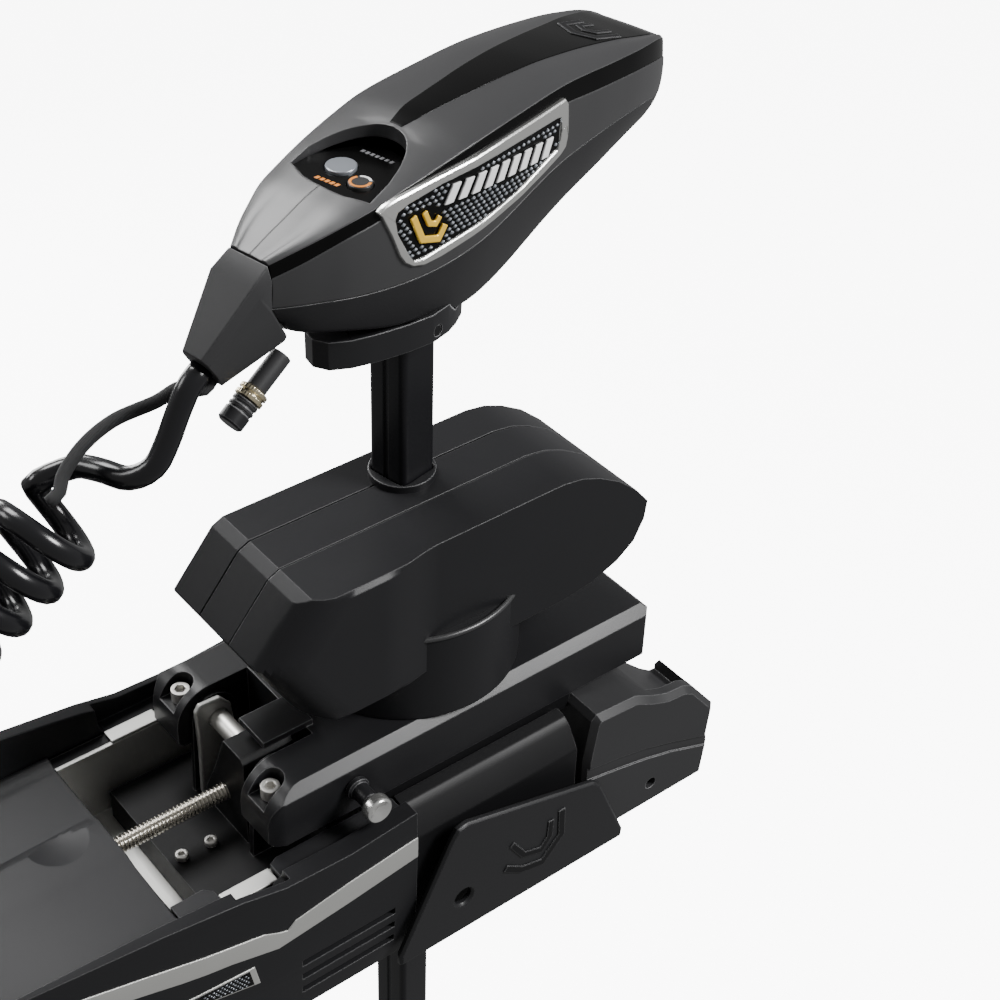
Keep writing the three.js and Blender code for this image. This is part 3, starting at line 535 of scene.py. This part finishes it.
def pod_cover(name, y_low, y_high, rim, swell=False):
    """A cover between y_low and y_high, its outer rim rounded; the near one swells towards the rear.
    No cover has a bore, so the shaft and the hub pass through the far and the middle one."""
    obj = prism(name + "_shell", POD, lambda a, b, d: mm(a, d, b), y_low, y_high, BODY_OF[name])
    work = bmesh.new()
    work.from_mesh(obj.data)
    outer = y_low if swell else y_high
    outer_rim = [e for e in work.edges if all(abs(v.co.y - outer * MM) < 1e-6 for v in e.verts)]
    bmesh.ops.bevel(work, geom=outer_rim, offset=rim * MM, segments=1 if swell else 3, profile=0.6,
                    affect="EDGES", clamp_overlap=True)
    if swell:
        for x in range(118, 178, 4):
            bmesh.ops.bisect_plane(work, geom=work.verts[:] + work.edges[:] + work.faces[:],
                                   plane_co=(x * MM, 0, 0), plane_no=(1, 0, 0))
        inward = []
        for (x0, z0), (x1, z1) in REAR_LINES:
            n = Vector((z1 - z0, 0, x0 - x1)).normalized()
            inward.append((mm(x0, 0, z0), n))
            for reach in (1, 3, 6, 10, 15, 21, ROLL):
                bmesh.ops.bisect_plane(work, geom=work.verts[:] + work.edges[:] + work.faces[:],
                                       plane_co=mm(x0, 0, z0) + n * reach * MM, plane_no=n)
        for v in work.verts:
            reach = min((v.co - p0).dot(n) for p0, n in inward) / MM
            reach = max(0.0, min(float(ROLL), reach))
            rolled = ROLL - math.sqrt(ROLL ** 2 - (ROLL - reach) ** 2)
            limit = NEAR_FACE - SWELL * smooth_step((v.co.x / MM - 120) / 54) - rolled * ROLL_SHARE
            if v.co.y < -limit * MM:
                v.co.y = -limit * MM
    work.to_mesh(obj.data)
    work.free()
    sharpen(obj, 24)
    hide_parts(name)
    finish(obj, "cover_plastic")
    return obj


pod_cover("pod_far_cover", 0.9, 36, 4)
pod_cover("pod_middle_cover", -36.9, -0.5, 0.5)
pod_cover("pod_near_cover", -NEAR_FACE, -38, 5, True)
lip_path = [mm(200 + 89.5 * math.cos(math.radians(a)), 89.5 * math.sin(math.radians(a)), 272.6)
            for a in range(-118, -59, 2)]
finish(skin("housing_lip", path_rings(lip_path, 0.0022, 12), BODY_OF["steering_housing"]), "graphite_plastic")

# ---------- badge on the near flank of the head ----------
def at(points, a):
    """The value at a on the broken line through points."""
    for (a0, b0), (a1, b1) in zip(points, points[1:]):
        if a <= a1:
            return b0 + (b1 - b0) * (a - a0) / (a1 - a0)
    return points[-1][1]


def flank(u, z, out=0.0):
    """A point out mm proud of the near flank of the head."""
    row = [at([(r[0], r[j]) for r in HEAD_ROWS], u) for j in range(9)]
    half, band, crease = row[1], row[5], row[6]
    s = (z - crease) / (band - crease)
    v = half * 0.97 + 0.5 + (half * 0.03 + 1) * min(s, 1) + 3.6 * max(0, s * (1 - s))
    return head(u, -(v + out), z)


def lofted(name, rings, slot_name, body, angle=30):
    """A finished skin through rings, with sharp edges where it turns by more than angle."""
    obj = skin(name, rings, body)
    sharpen(obj, angle)
    finish(obj, slot_name)
    return obj


def samples(low, high, step, *outlines):
    """Places from low to high: each corner of the outlines, and others a step apart."""
    places = {low, high} | {a for line in outlines for a, b in line if low < a < high}
    places |= {low + step * i for i in range(1, math.ceil((high - low) / step))}
    kept = []
    for a in sorted(places):
        if not kept or a - kept[-1] > 0.4:
            kept.append(a)
    return kept


# outlines on the flank, as (u, z) in mm; a separate program worked out most points from the photo
BEZEL_TOP = [(-70.4, 615.4), (-65.1, 618.5), (-56.2, 620.3), (-29, 623), (8.3, 624.9), (37.1, 627.1),
             (76.8, 628.8), (102, 630.4), (104.6, 627), (106.4, 606)]
BEZEL_LOW = [(-70.4, 614.8), (-67.8, 611.4), (-59.8, 594.1), (-53.5, 578.6), (-48.8, 571.5),
             (-42.3, 566.4), (-32.9, 563.7), (-18.7, 564.1), (20, 568.7), (59.8, 575.8), (85.1, 583.4),
             (100.4, 589.2), (105.4, 593.2), (106.4, 600)]
INSERT_TOP = [(-58, 606.2), (-56.2, 610), (-47.2, 613.2), (-19.7, 617.2), (37.5, 618.6), (93.8, 619.3),
              (97.6, 618.6), (98.8, 612)]
INSERT_LOW = [(-58, 605.6), (-56.2, 596), (-46.1, 576.8), (-41.4, 570.4), (-33, 569.6), (-18.9, 571.4),
              (19.7, 575.4), (59.4, 582.6), (96.5, 595.6), (98.8, 604)]
PROUD = 2.3
bezel_rings = []
for u in samples(-70.4, 106.4, 5, BEZEL_TOP, BEZEL_LOW, INSERT_TOP, INSERT_LOW, [(-58.5, 0), (99.3, 0)]):
    high, low = at(BEZEL_TOP, u), at(BEZEL_LOW, u)
    lip = min(1.2, (high - low) / 5)
    if -58.2 < u < 99:
        in_high, in_low, floor_out, lip_in = at(INSERT_TOP, u), at(INSERT_LOW, u), 0.5, 1.0
    else:
        in_high = in_low = (high + low) / 2
        floor_out, lip_in = PROUD, 0
    half_out = (floor_out + PROUD) / 2 + 0.2
    bezel_rings.append([flank(u, z, out) for z, out in (
        (high, -1.5), (high, 1.3), (high - lip, PROUD), (in_high + lip_in, PROUD), (in_high, half_out),
        (in_high, floor_out), (in_low, floor_out), (in_low, half_out), (in_low - lip_in, PROUD),
        (low + lip, PROUD), (low, 1.3), (low, -1.5))])
lofted("badge_bezel", bezel_rings, "polished_steel", "shaft")
lofted("badge_insert", [[flank(u, z, out) for z, out in (
    (at(INSERT_TOP, u) - 0.2, 0.1), (at(INSERT_TOP, u) - 0.2, 0.9), (at(INSERT_LOW, u) + 0.2, 0.9),
    (at(INSERT_LOW, u) + 0.2, 0.1))] for u in samples(-57, 98, 5, INSERT_TOP, INSERT_LOW)],
    "panel_gloss", "shaft")


def relief_on(name, place_point, outline, low_out, high_out, slot_name, body, bevel=0.25):
    """A raised mark on a surface; without a slot its look is set by the caller."""
    obj = prism(name, outline, place_point, low_out, high_out, body, bevel, 1)
    if slot_name:
        finish(obj, slot_name)
    return obj


def band_along(line, width):
    """The outline of a band width wide to the left of a broken line."""
    inner = []
    for i, (a, b) in enumerate(line):
        before, after = line[max(i - 1, 0)], line[min(i + 1, len(line) - 1)]
        d0 = Vector((a - before[0], b - before[1])) if i else Vector((after[0] - a, after[1] - b))
        d1 = Vector((after[0] - a, after[1] - b)) if i < len(line) - 1 else d0
        d0.normalize()
        d1.normalize()
        n0, n1 = Vector((-d0.y, d0.x)), Vector((-d1.y, d1.x))
        m = (n0 + n1).normalized()
        reach = width / max(0.4, m.dot(n0))
        inner.append((a + m.x * reach, b + m.y * reach))
    return list(line) + inner[::-1]


def inside(point, outline):
    """Whether the point is inside the closed outline."""
    a, b = point
    hit = False
    for (a0, b0), (a1, b1) in zip(outline, outline[1:] + outline[:1]):
        if (b0 > b) != (b1 > b) and a < a0 + (a1 - a0) * (b - b0) / (b1 - b0):
            hit = not hit
    return hit


def studs(name, place_point, spots, size, out_low, out_high, slot_name, body):
    """Small raised four-sided studs, all in one mesh."""
    verts, faces = [], []
    for a, b in spots:
        k = len(verts)
        for s, out in ((1.0, out_low), (0.45, out_high)):
            verts += [place_point(a + size[0] * s * x, b + size[1] * s * y, out) for x, y in
                      ((1, 0), (0, 1), (-1, 0), (0, -1))]
        faces += [(k + 3, k + 2, k + 1, k), (k + 4, k + 5, k + 6, k + 7)]
        faces += [(k + i, k + (i + 1) % 4, k + (i + 1) % 4 + 4, k + i + 4) for i in range(4)]
    obj = new_object(name, verts, faces, body, smooth=False)
    finish(obj, slot_name)
    return obj


def between(a, b, t):
    """The point a share t of the way from a to b."""
    return [a[k] + (b[k] - a[k]) * t for k in (0, 1)]


BARS = [(-17.7, 601.6), (90.4, 594.6), (94.8, 607.4), (-10.3, 613.5)]
bar_field = [(-20, 599.5), (93, 592.4), (97, 609.5), (-12, 615.8)]
emblem_field = [(-50, 604), (-26, 607.5), (-12, 586), (-20, 573), (-40, 581)]
spots = []
for j in range(14):
    for i in range(32):
        u, z = -56 + 5.2 * i + 2.6 * (j % 2), 571 + 3.6 * j
        if not at(INSERT_LOW, u) + 2 < z < at(INSERT_TOP, u) - 2 or not -54 < u < 96:
            continue
        if not inside((u, z), bar_field) and not inside((u, z), emblem_field):
            spots.append((u, z))
studs("badge_mesh", flank, spots, (2.3, 1.6), 0.7, 1.7, "button_silver", "shaft")
for i in range(9):
    t0, t1 = i / 9, (i + 0.62) / 9
    outline = [between(BARS[0], BARS[1], t0), between(BARS[0], BARS[1], t1),
               between(BARS[3], BARS[2], t1), between(BARS[3], BARS[2], t0)]
    bar = relief_on(f"badge_bar_{i + 1}", flank, outline, 0.6, 2.2, None, "shaft")
    bar["look"] = "mark_white"
for i, (line, width) in enumerate((([(-46.2, 602), (-37.8, 582), (-20.8, 576.5), (-14.5, 586.5)], 5),
                                   ([(-36.5, 602.5), (-32, 592), (-24.5, 589), (-20, 594.5)], 4))):
    emblem = relief_on(f"badge_chevron_{i + 1}", flank, band_along(line, width), 0.6, 2.6, None,
                       "shaft", 0.5)
    emblem["look"] = "emblem_gold"

# emblem on the stripe, marks on the panel and the ring of its lower button
def on_stripe(u, v, d):
    return head(u, v, at([(r[0], r[3]) for r in HEAD_ROWS], u) + d)


def on_panel(u, v, d):
    return head(u, v, 618 + d)


for i, (line, width) in enumerate((([(194, -25.5), (174.5, -19), (169, -1), (177, 17.5), (197, 13.5)], 5.5),
                                   ([(197, -15), (184, -12), (180, -2), (185, 8), (198, 5)], 4.5))):
    relief_on(f"stripe_chevron_{i + 1}", on_stripe, band_along(line, -width), -1, 1.5, "dark_metal",
              "shaft", 0.4)


def arc_band(u, v, r_in, r_out, start, end, steps=20):
    """The outline of a part of a ring, from start to end degrees."""
    turn = [math.radians(start + (end - start) * i / steps) for i in range(steps + 1)]
    return ([(u + r_out * math.cos(a), v + r_out * math.sin(a)) for a in turn]
            + [(u + r_in * math.cos(a), v + r_in * math.sin(a)) for a in reversed(turn)])


for name, start, end, look_name in (("mode_ring_orange", 60, 300, "mark_orange"),
                                    ("mode_ring_white", 315, 405, "mark_white")):
    ring = relief_on(name, on_panel, arc_band(-55.3, -16, 5.6, 7.4, start, end), 1.8, 2.25, None,
                     "mode_button", 0)
    ring["look"] = look_name
for i in range(5):
    u, v = -66.8 + 0.3 * i, 10 - 4 * i
    outline = [(u - 1.7, v - 1.1), (u + 1.7, v - 1.5), (u + 1.7, v + 1.1), (u - 1.7, v + 1.5)]
    mark = relief_on(f"panel_mark_{i + 1}", on_panel, outline, -0.2, 0.25, None, "shaft", 0)
    mark["look"] = "mark_orange"
for i in range(7):
    u, v = -22.5 + 0.2 * i, 13 - 4 * i
    outline = [(u - 1.5, v - 1.3), (u + 1.5, v - 1.5), (u + 1.5, v + 1.1), (u - 1.5, v + 1.3)]
    mark = relief_on(f"panel_label_{i + 1}", on_panel, outline, -0.2, 0.25, None, "shaft", 0)
    mark["look"] = "mark_grey"

# ---------- base, arm and carriage details ----------
# a wall under each side of the arm in the darkest finish: partly a part, partly painted shade for the dark
# gap below the arm
for side, tag in ((-1, "near"), (1, "far")):
    prism(f"arm_skirt_{tag}", [(102, 131), (300, 131), (303, 147), (99, 147)],
          lambda a, b, d: mm(a, side * d, b), 81.5, 84.6, "arm", 0.8)
    finish(bpy.data.objects[f"arm_skirt_{tag}"], "dark_metal")

STRIPE_TOP = [(-215, 161), (-145, 147), (-80, 132), (-46, 124.5), (-12, 117), (2, 109.5), (8, 107.5),
              (14.5, 113.5), (60, 121.5), (123.6, 129)]
STRIPE_LOW = [(-215, 156), (-145, 130), (-80, 113), (-40, 104.5), (0, 93), (60, 99.5), (123.6, 108)]
SIDE_PROFILE = [(4, 117), (20, 119.5), (60, 122), (120, 123), (150, 122.5), (184, 120)]
SIDE_PLAN = [(-330, 108), (-250, 113), (-190, 118), (-100, 121), (-35, 124), (124, 124)]


def cover_side(x, z, side, out):
    """A point out mm proud of a side cover."""
    return mm(x, side * (min(at(SIDE_PROFILE, z), at(SIDE_PLAN, x)) + out), z)


for side, tag in ((-1, "near"), (1, "far")):
    lofted(f"side_stripe_{tag}", [[cover_side(x, z, side, out) for z, out in (
        (at(STRIPE_TOP, x), -1), (at(STRIPE_TOP, x), 0.5), (at(STRIPE_TOP, x) - 0.8, 0.9),
        ((at(STRIPE_TOP, x) + at(STRIPE_LOW, x)) / 2, 0.9), (at(STRIPE_LOW, x) + 0.8, 0.9),
        (at(STRIPE_LOW, x), 0.5), (at(STRIPE_LOW, x), -1))]
        for x in samples(-215, 123.6, 6, STRIPE_TOP, STRIPE_LOW)], "aluminium", "base")
    triangle = [(-21, 88), (-17, 67), (-62, 78), (-78, 92)]
    relief_on(f"side_badge_rim_{tag}", lambda a, b, d: cover_side(a, b, side, d),
              triangle if side < 0 else triangle[::-1], -1, 0.9, "aluminium", "base", 0.3)
    middle = Vector((sum(p[0] for p in triangle) / 4, sum(p[1] for p in triangle) / 4))
    shrunk = [tuple(middle + (Vector(p) - middle) * 0.80) for p in triangle]
    relief_on(f"side_badge_field_{tag}", lambda a, b, d: cover_side(a, b, side, d),
              shrunk if side < 0 else shrunk[::-1], -0.5, 1.15, "panel_gloss", "base", 0)
    spots = [(-76 + 3.6 * i + 1.8 * (j % 2), 68 + 2.6 * j) for j in range(10) for i in range(17)]
    inner = [tuple(middle + (Vector(p) - middle) * 0.70) for p in triangle]
    studs(f"side_badge_mesh_{tag}", lambda a, b, d: cover_side(a, b, side, d),
          [p for p in spots if inside(p, inner)], (1.5, 1.1), 1.0, 1.7, "button_silver", "base")
    for i, (line, width) in enumerate((([(201, 45), (218, 33), (242, 27), (263, 50), (262, 80)], 7),
                                       ([(206, 70), (219, 50), (240, 43), (250, 56), (251, 74)], 6))):
        relief_on(f"plate_chevron_{tag}_{i + 1}", lambda a, b, d: mm(a, side * (131 + d), b),
                  band_along(line, width), -1, 1.1, "dark_metal", "base", 0.5)

# scooped finger grip of the centre cover
SCOOP_X, SCOOP_Y, SCOOP_LOW, SCOOP_DEPTH = -96, 24, 138.4, 3.4
SCOOP_ALONG, SCOOP_ACROSS, SCOOP_SIDES = 31, 35, 48
scoop_rings = [[mm(SCOOP_X + SCOOP_ALONG * s * math.cos(2 * math.pi * k / SCOOP_SIDES),
                   SCOOP_Y + SCOOP_ACROSS * s * math.sin(2 * math.pi * k / SCOOP_SIDES),
                   SCOOP_LOW + SCOOP_DEPTH * s ** 2) for k in range(SCOOP_SIDES)]
               for s in (0.04, 0.2, 0.4, 0.6, 0.75, 0.88, 1.0)]
scoop_rings.append([Vector((p.x, p.y, 0.150)) for p in scoop_rings[-1]])
cut_away(surfaces["centre_cover"], skin("scoop", scoop_rings))

# leadscrew with its real thread
PITCH, RINGS_PER_TURN = 3.2, 7
SCREW_START, SCREW_LENGTH, SCREW_Z = -270, 396, 130
SCREW_R, THREAD_DEPTH, JOURNAL = 7, 1.5, 8
rings_of_screw = []
for i in range(round(SCREW_LENGTH / PITCH * RINGS_PER_TURN) + 1):
    x = SCREW_START + i * PITCH / RINGS_PER_TURN
    ring = []
    for k in range(24):
        a = 2 * math.pi * k / 24
        phase = (x / PITCH + k / 24) % 1.0
        crest = 1 - abs(2 * phase - 1)
        radius = SCREW_R - THREAD_DEPTH * max(0.0, min(1.0, 1.25 - 1.6 * crest))
        if x < SCREW_START + JOURNAL or x > SCREW_START + SCREW_LENGTH - JOURNAL:
            radius = SCREW_R - THREAD_DEPTH
        ring.append(mm(x, radius * math.cos(a), SCREW_Z + radius * math.sin(a)))
    rings_of_screw.append(ring)
lofted("leadscrew_thread", rings_of_screw, "screw_steel", BODY_OF["leadscrew"], 50)
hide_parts("leadscrew")


def turned_piece(name, profile, place_point, slot_name, body, sides=40):
    """A piece turned about an axis: profile of (radius, distance along it)."""
    turn = [2 * math.pi * k / sides for k in range(sides)]
    rings_of = [[place_point(r * math.cos(a), r * math.sin(a), d) for a in turn] for r, d in profile]
    return lofted(name, rings_of, slot_name, body, 30)


def knob_point(a, b, d):
    """A point of the release pin, d mm out from its inner end."""
    return mm(94 + a, -81 - d, 171 + b)


KNOB = [(4, 0.2), (4, 25.6), (8.2, 26.4), (10.2, 28), (11, 30), (11, 35.6), (10.2, 37), (9.2, 37.6),
        (8.2, 37.2), (3.2, 34.6), (1.2, 34.4)]
SLEEVE = [(4.3, 5.6), (8.6, 5.8), (9.2, 6.4), (9.2, 10), (7.4, 11.4), (7.0, 22), (6.4, 24.4), (4.3, 25)]
knob_body = BODY_OF["release_knob"]
knob = turned_piece("release_knob_turned", KNOB, knob_point, "polished_steel", knob_body)
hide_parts("release_knob")
turned_piece("release_sleeve", SLEEVE, knob_point, "black_plastic", knob_body)

# knurled ring and ribbed cap of the spare connector
PLUG_START = Vector((-124, -12, 524.5))
ALONG_PLUG = Vector((-0.859, 0, -0.512))
ACROSS_PLUG = Vector((0.512, 0, -0.859))


def plug_point(a, b, d):
    """A point of the spare connector, d mm along it."""
    p = PLUG_START + ALONG_PLUG * d + ACROSS_PLUG * a + Vector((0, b, 0))
    return head(*p)


RING_PROFILE = [(28.4, 8.6), (29, 9.5), (31.6, 9.5), (32, 8.4), (33.2, 8.4), (33.6, 9.5), (36.4, 9.5),
                (36.9, 8.6)]
CAP_PROFILE = [(37.5, 8), (38.1, 9), (40, 9), (40.4, 8.2), (42, 8.2), (42.4, 9), (44, 9), (44.4, 8.2),
               (46, 8.2), (46.4, 9), (54.6, 9), (55.9, 7.6)]


def plug_ring(d, r, sides, ridge=0.0):
    """A ring round the connector, every second point ridge mm further out."""
    reach = [r + (ridge if k % 2 else 0) for k in range(sides)]
    return [plug_point(out * math.cos(2 * math.pi * k / sides), out * math.sin(2 * math.pi * k / sides), d)
            for k, out in enumerate(reach)]


knurl = [plug_ring(d, r, 60, 0.35 if r > 9 else 0.0) for d, r in RING_PROFILE]
lofted("connector_ring_knurled", knurl, "nickel_brass", BODY_OF["connector_ring"], 20)
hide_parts("connector_ring")
cap_rings = [plug_ring(d, r, 32) for d, r in CAP_PROFILE]
lofted("connector_cap_ribbed", cap_rings, "black_plastic", BODY_OF["connector_cap"], 30)
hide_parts("connector_cap")


# ---------- materials ----------
def material(name, colour, rough, metal=0.0, grain=900.0, bump=0.15, mottle=0.12, edge=0.0, highlight_colour=0.30,
             edge_radius=0.0012, coat=0.0, rough_spread=0.08, specular=0.5, stretch=(1, 1, 1), weave=False):
    """A procedural finish: broad mottling, fine grain or weave, and paler edges that are a painted highlight.
    Colours are set against the photo under this light, and most are darker than the record's."""
    mat = bpy.data.materials.new(name)
    mat.use_nodes = True
    nodes, links = mat.node_tree.nodes, mat.node_tree.links
    nodes.clear()
    out = nodes.new("ShaderNodeOutputMaterial")
    shader = nodes.new("ShaderNodeBsdfPrincipled")
    links.new(shader.outputs[0], out.inputs[0])
    shader.inputs["Metallic"].default_value = metal
    shader.inputs["Coat Weight"].default_value = coat
    shader.inputs["Coat Roughness"].default_value = 0.12
    shader.inputs["Specular IOR Level"].default_value = specular
    coords = nodes.new("ShaderNodeTexCoord")
    mapping = nodes.new("ShaderNodeMapping")
    mapping.inputs["Scale"].default_value = stretch
    links.new(coords.outputs["Object"], mapping.inputs[0])

    def noise(scale, detail):
        node = nodes.new("ShaderNodeTexNoise")
        node.inputs["Scale"].default_value = scale
        node.inputs["Detail"].default_value = detail
        links.new(mapping.outputs[0], node.inputs["Vector"])
        return node

    broad, fine = noise(9.0, 4), noise(grain, 2)
    if weave:
        fine = nodes.new("ShaderNodeTexWave")
        fine.inputs["Scale"].default_value = grain
        fine.inputs["Distortion"].default_value = 3.0
        links.new(mapping.outputs[0], fine.inputs["Vector"])
    spread = nodes.new("ShaderNodeMapRange")
    spread.inputs["To Min"].default_value = 1 - mottle
    spread.inputs["To Max"].default_value = 1 + mottle
    links.new(broad.outputs[0], spread.inputs["Value"])
    tint = nodes.new("ShaderNodeVectorMath")
    tint.operation = "SCALE"
    tint.inputs[0].default_value = colour
    links.new(spread.outputs[0], tint.inputs["Scale"])
    result = tint.outputs[0]
    bevel = nodes.new("ShaderNodeBevel")
    bevel.samples = 6
    bevel.inputs["Radius"].default_value = edge_radius
    # painted highlight: the colour turns pale grey where the bevel normal leaves the face's own, as if light
    # caught the edges
    if edge > 0:
        geometry = nodes.new("ShaderNodeNewGeometry")
        dot = nodes.new("ShaderNodeVectorMath")
        dot.operation = "DOT_PRODUCT"
        links.new(bevel.outputs[0], dot.inputs[0])
        links.new(geometry.outputs["Normal"], dot.inputs[1])
        highlight_mask = nodes.new("ShaderNodeMapRange")
        highlight_mask.inputs["From Min"].default_value = 0.985
        highlight_mask.inputs["From Max"].default_value = 0.85
        highlight_mask.inputs["To Max"].default_value = edge
        links.new(dot.outputs["Value"], highlight_mask.inputs["Value"])
        blend = nodes.new("ShaderNodeMix")
        blend.data_type = "RGBA"
        blend.inputs["B"].default_value = (highlight_colour, highlight_colour, highlight_colour * 1.02, 1)
        links.new(highlight_mask.outputs[0], blend.inputs["Factor"])
        links.new(result, blend.inputs["A"])
        result = blend.outputs["Result"]
    links.new(result, shader.inputs["Base Color"])
    roughness = nodes.new("ShaderNodeMapRange")
    roughness.inputs["To Min"].default_value = max(0.02, rough - rough_spread)
    roughness.inputs["To Max"].default_value = min(1.0, rough + rough_spread)
    links.new(broad.outputs[0], roughness.inputs["Value"])
    links.new(roughness.outputs[0], shader.inputs["Roughness"])
    relief = nodes.new("ShaderNodeBump")
    relief.inputs["Strength"].default_value = bump
    relief.inputs["Distance"].default_value = 0.0004
    links.new(fine.outputs["Fac"] if "Fac" in fine.outputs else fine.outputs[0], relief.inputs["Height"])
    links.new(bevel.outputs[0], relief.inputs["Normal"])
    links.new(relief.outputs[0], shader.inputs["Normal"])
    return mat


# edge and the edge's colour set the painted highlight along the edges
LOOKS = {
    "black_plastic": dict(colour=(0.010, 0.010, 0.011), rough=0.38, grain=1400, bump=0.10, edge=0.6,
                          specular=0.3),
    "cover_plastic": dict(colour=(0.012, 0.012, 0.013), rough=0.36, grain=1600, bump=0.08, edge=0.25,
                          specular=0.14),
    "graphite_plastic": dict(colour=(0.026, 0.026, 0.027), rough=0.34, grain=1800, bump=0.04, edge=0.15,
                             specular=0.5),
    "bumper_rubber": dict(colour=(0.022, 0.022, 0.023), rough=0.50, grain=1500, bump=0.14, edge=0.6,
                          specular=0.3),
    "aluminium": dict(colour=(0.50, 0.50, 0.48), rough=0.45, metal=0.7, grain=500, bump=0.10,
                      stretch=(0.05, 1, 1), rough_spread=0.1),
    "steel": dict(colour=(0.60, 0.59, 0.56), rough=0.42, metal=0.85, grain=900, bump=0.05, rough_spread=0.08),
    "polished_steel": dict(colour=(0.74, 0.74, 0.72), rough=0.22, metal=0.92, grain=700, bump=0.02,
                           rough_spread=0.05),
    "screw_steel": dict(colour=(0.56, 0.53, 0.47), rough=0.27, metal=1.0, grain=900, bump=0.06),
    "dark_metal": dict(colour=(0.006, 0.006, 0.0065), rough=0.45, metal=0.0, grain=1300, bump=0.12, edge=0.45,
                       specular=0.15),
    "motor_paint": dict(colour=(0.014, 0.014, 0.016), rough=0.3, grain=1500, bump=0.05, coat=0.3, edge=0.2),
    "shaft_composite": dict(colour=(0.006, 0.006, 0.007), rough=0.3, grain=900, bump=0.05,
                            stretch=(1, 1, 0.03), edge=0.2, highlight_colour=0.12, specular=0.2),
    "panel_gloss": dict(colour=(0.002, 0.002, 0.002), rough=0.2, grain=1200, bump=0.01, specular=0.12),
    "button_silver": dict(colour=(0.30, 0.32, 0.35), rough=0.3, metal=0.7, grain=1500, bump=0.05),
    "button_orange": dict(colour=(0.02, 0.02, 0.02), rough=0.35, grain=1500, bump=0.05),
    "nickel_brass": dict(colour=(0.70, 0.62, 0.44), rough=0.22, metal=1.0, grain=800, bump=0.04),
    "prop_plastic": dict(colour=(0.012, 0.012, 0.013), rough=0.4, grain=1500, bump=0.1, edge=0.15),
    "cord_rubber": dict(colour=(0.005, 0.005, 0.006), rough=0.22, grain=700, bump=0.04, rough_spread=0.05),
    "emblem_gold": dict(colour=(0.90, 0.56, 0.06), rough=0.3, metal=0.4, grain=900, bump=0.04),
    "mark_white": dict(colour=(0.72, 0.72, 0.72), rough=0.4, grain=900, bump=0.03),
    "mark_grey": dict(colour=(0.16, 0.16, 0.17), rough=0.4, grain=900, bump=0.03),
    "mark_orange": dict(colour=(0.62, 0.20, 0.02), rough=0.4, grain=900, bump=0.03),
    "braid_fabric": dict(colour=(0.02, 0.02, 0.021), rough=0.75, grain=420, bump=0.9, weave=True),
}
MATERIALS = {name: material(name, **look_values) for name, look_values in LOOKS.items()}
for node, obj in frame["nodes"].items():
    obj.data.materials.clear()
    obj.data.materials.append(MATERIALS[SLOT_OF[node]])
for obj, slot_name in finishes:
    obj.data.materials.clear()
    obj.data.materials.append(MATERIALS[slot_name])
for obj in bpy.data.objects:
    if "look" in obj:
        obj.data.materials.append(MATERIALS[obj["look"]])


# ---------- floor and light ----------
# The floor gives off light so that it reads white. Glossy and diffuse rays don't see it, so it neither
# shows in reflections nor lights the underside.
low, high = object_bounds()
floor_z = low[2] - 0.02
bpy.ops.mesh.primitive_plane_add(size=800, location=(0, 0, floor_z))
floor = bpy.context.object
floor.name = "floor"
floor_look = material("floor_white", (0.86, 0.86, 0.86), 0.8, grain=40, bump=0.0, mottle=0.01)
floor_shader = next(n for n in floor_look.node_tree.nodes if n.type == "BSDF_PRINCIPLED")
floor_shader.inputs["Emission Color"].default_value = (1, 1, 1, 1)
floor_shader.inputs["Emission Strength"].default_value = 8.0
floor.data.materials.append(floor_look)
floor.visible_glossy = False
floor.visible_diffuse = False

world = bpy.data.worlds.new("studio")
bpy.context.scene.world = world
world.use_nodes = True
world.node_tree.nodes["Background"].inputs[0].default_value = (1, 1, 1, 1)
world.node_tree.nodes["Background"].inputs[1].default_value = 0.32


def area(name, location, target, size, power):
    """A square softbox at location that faces target."""
    data = bpy.data.lights.new(name, "AREA")
    data.shape = "RECTANGLE"
    data.size = size
    data.size_y = size
    data.energy = power
    light = bpy.data.objects.new(name, data)
    bpy.context.collection.objects.link(light)
    light.location = location
    light.rotation_euler = (Vector(target) - Vector(location)).to_track_quat("-Z", "Y").to_euler()


area("top_softbox", (0.0, 1.55, 2.4), (0.05, 0, 0.5), 1.1, 70)
area("far_softbox", (0.2, 2.8, 0.5), (0.1, 0, 0.1), 1.3, 60)
area("back_softbox", (-1.6, 1.5, 1.6), (0.0, 0, 0.3), 0.8, 18)
area("front_softbox", (1.6, -1.7, 2.1), (0.1, 0, 0.3), 0.9, 150)
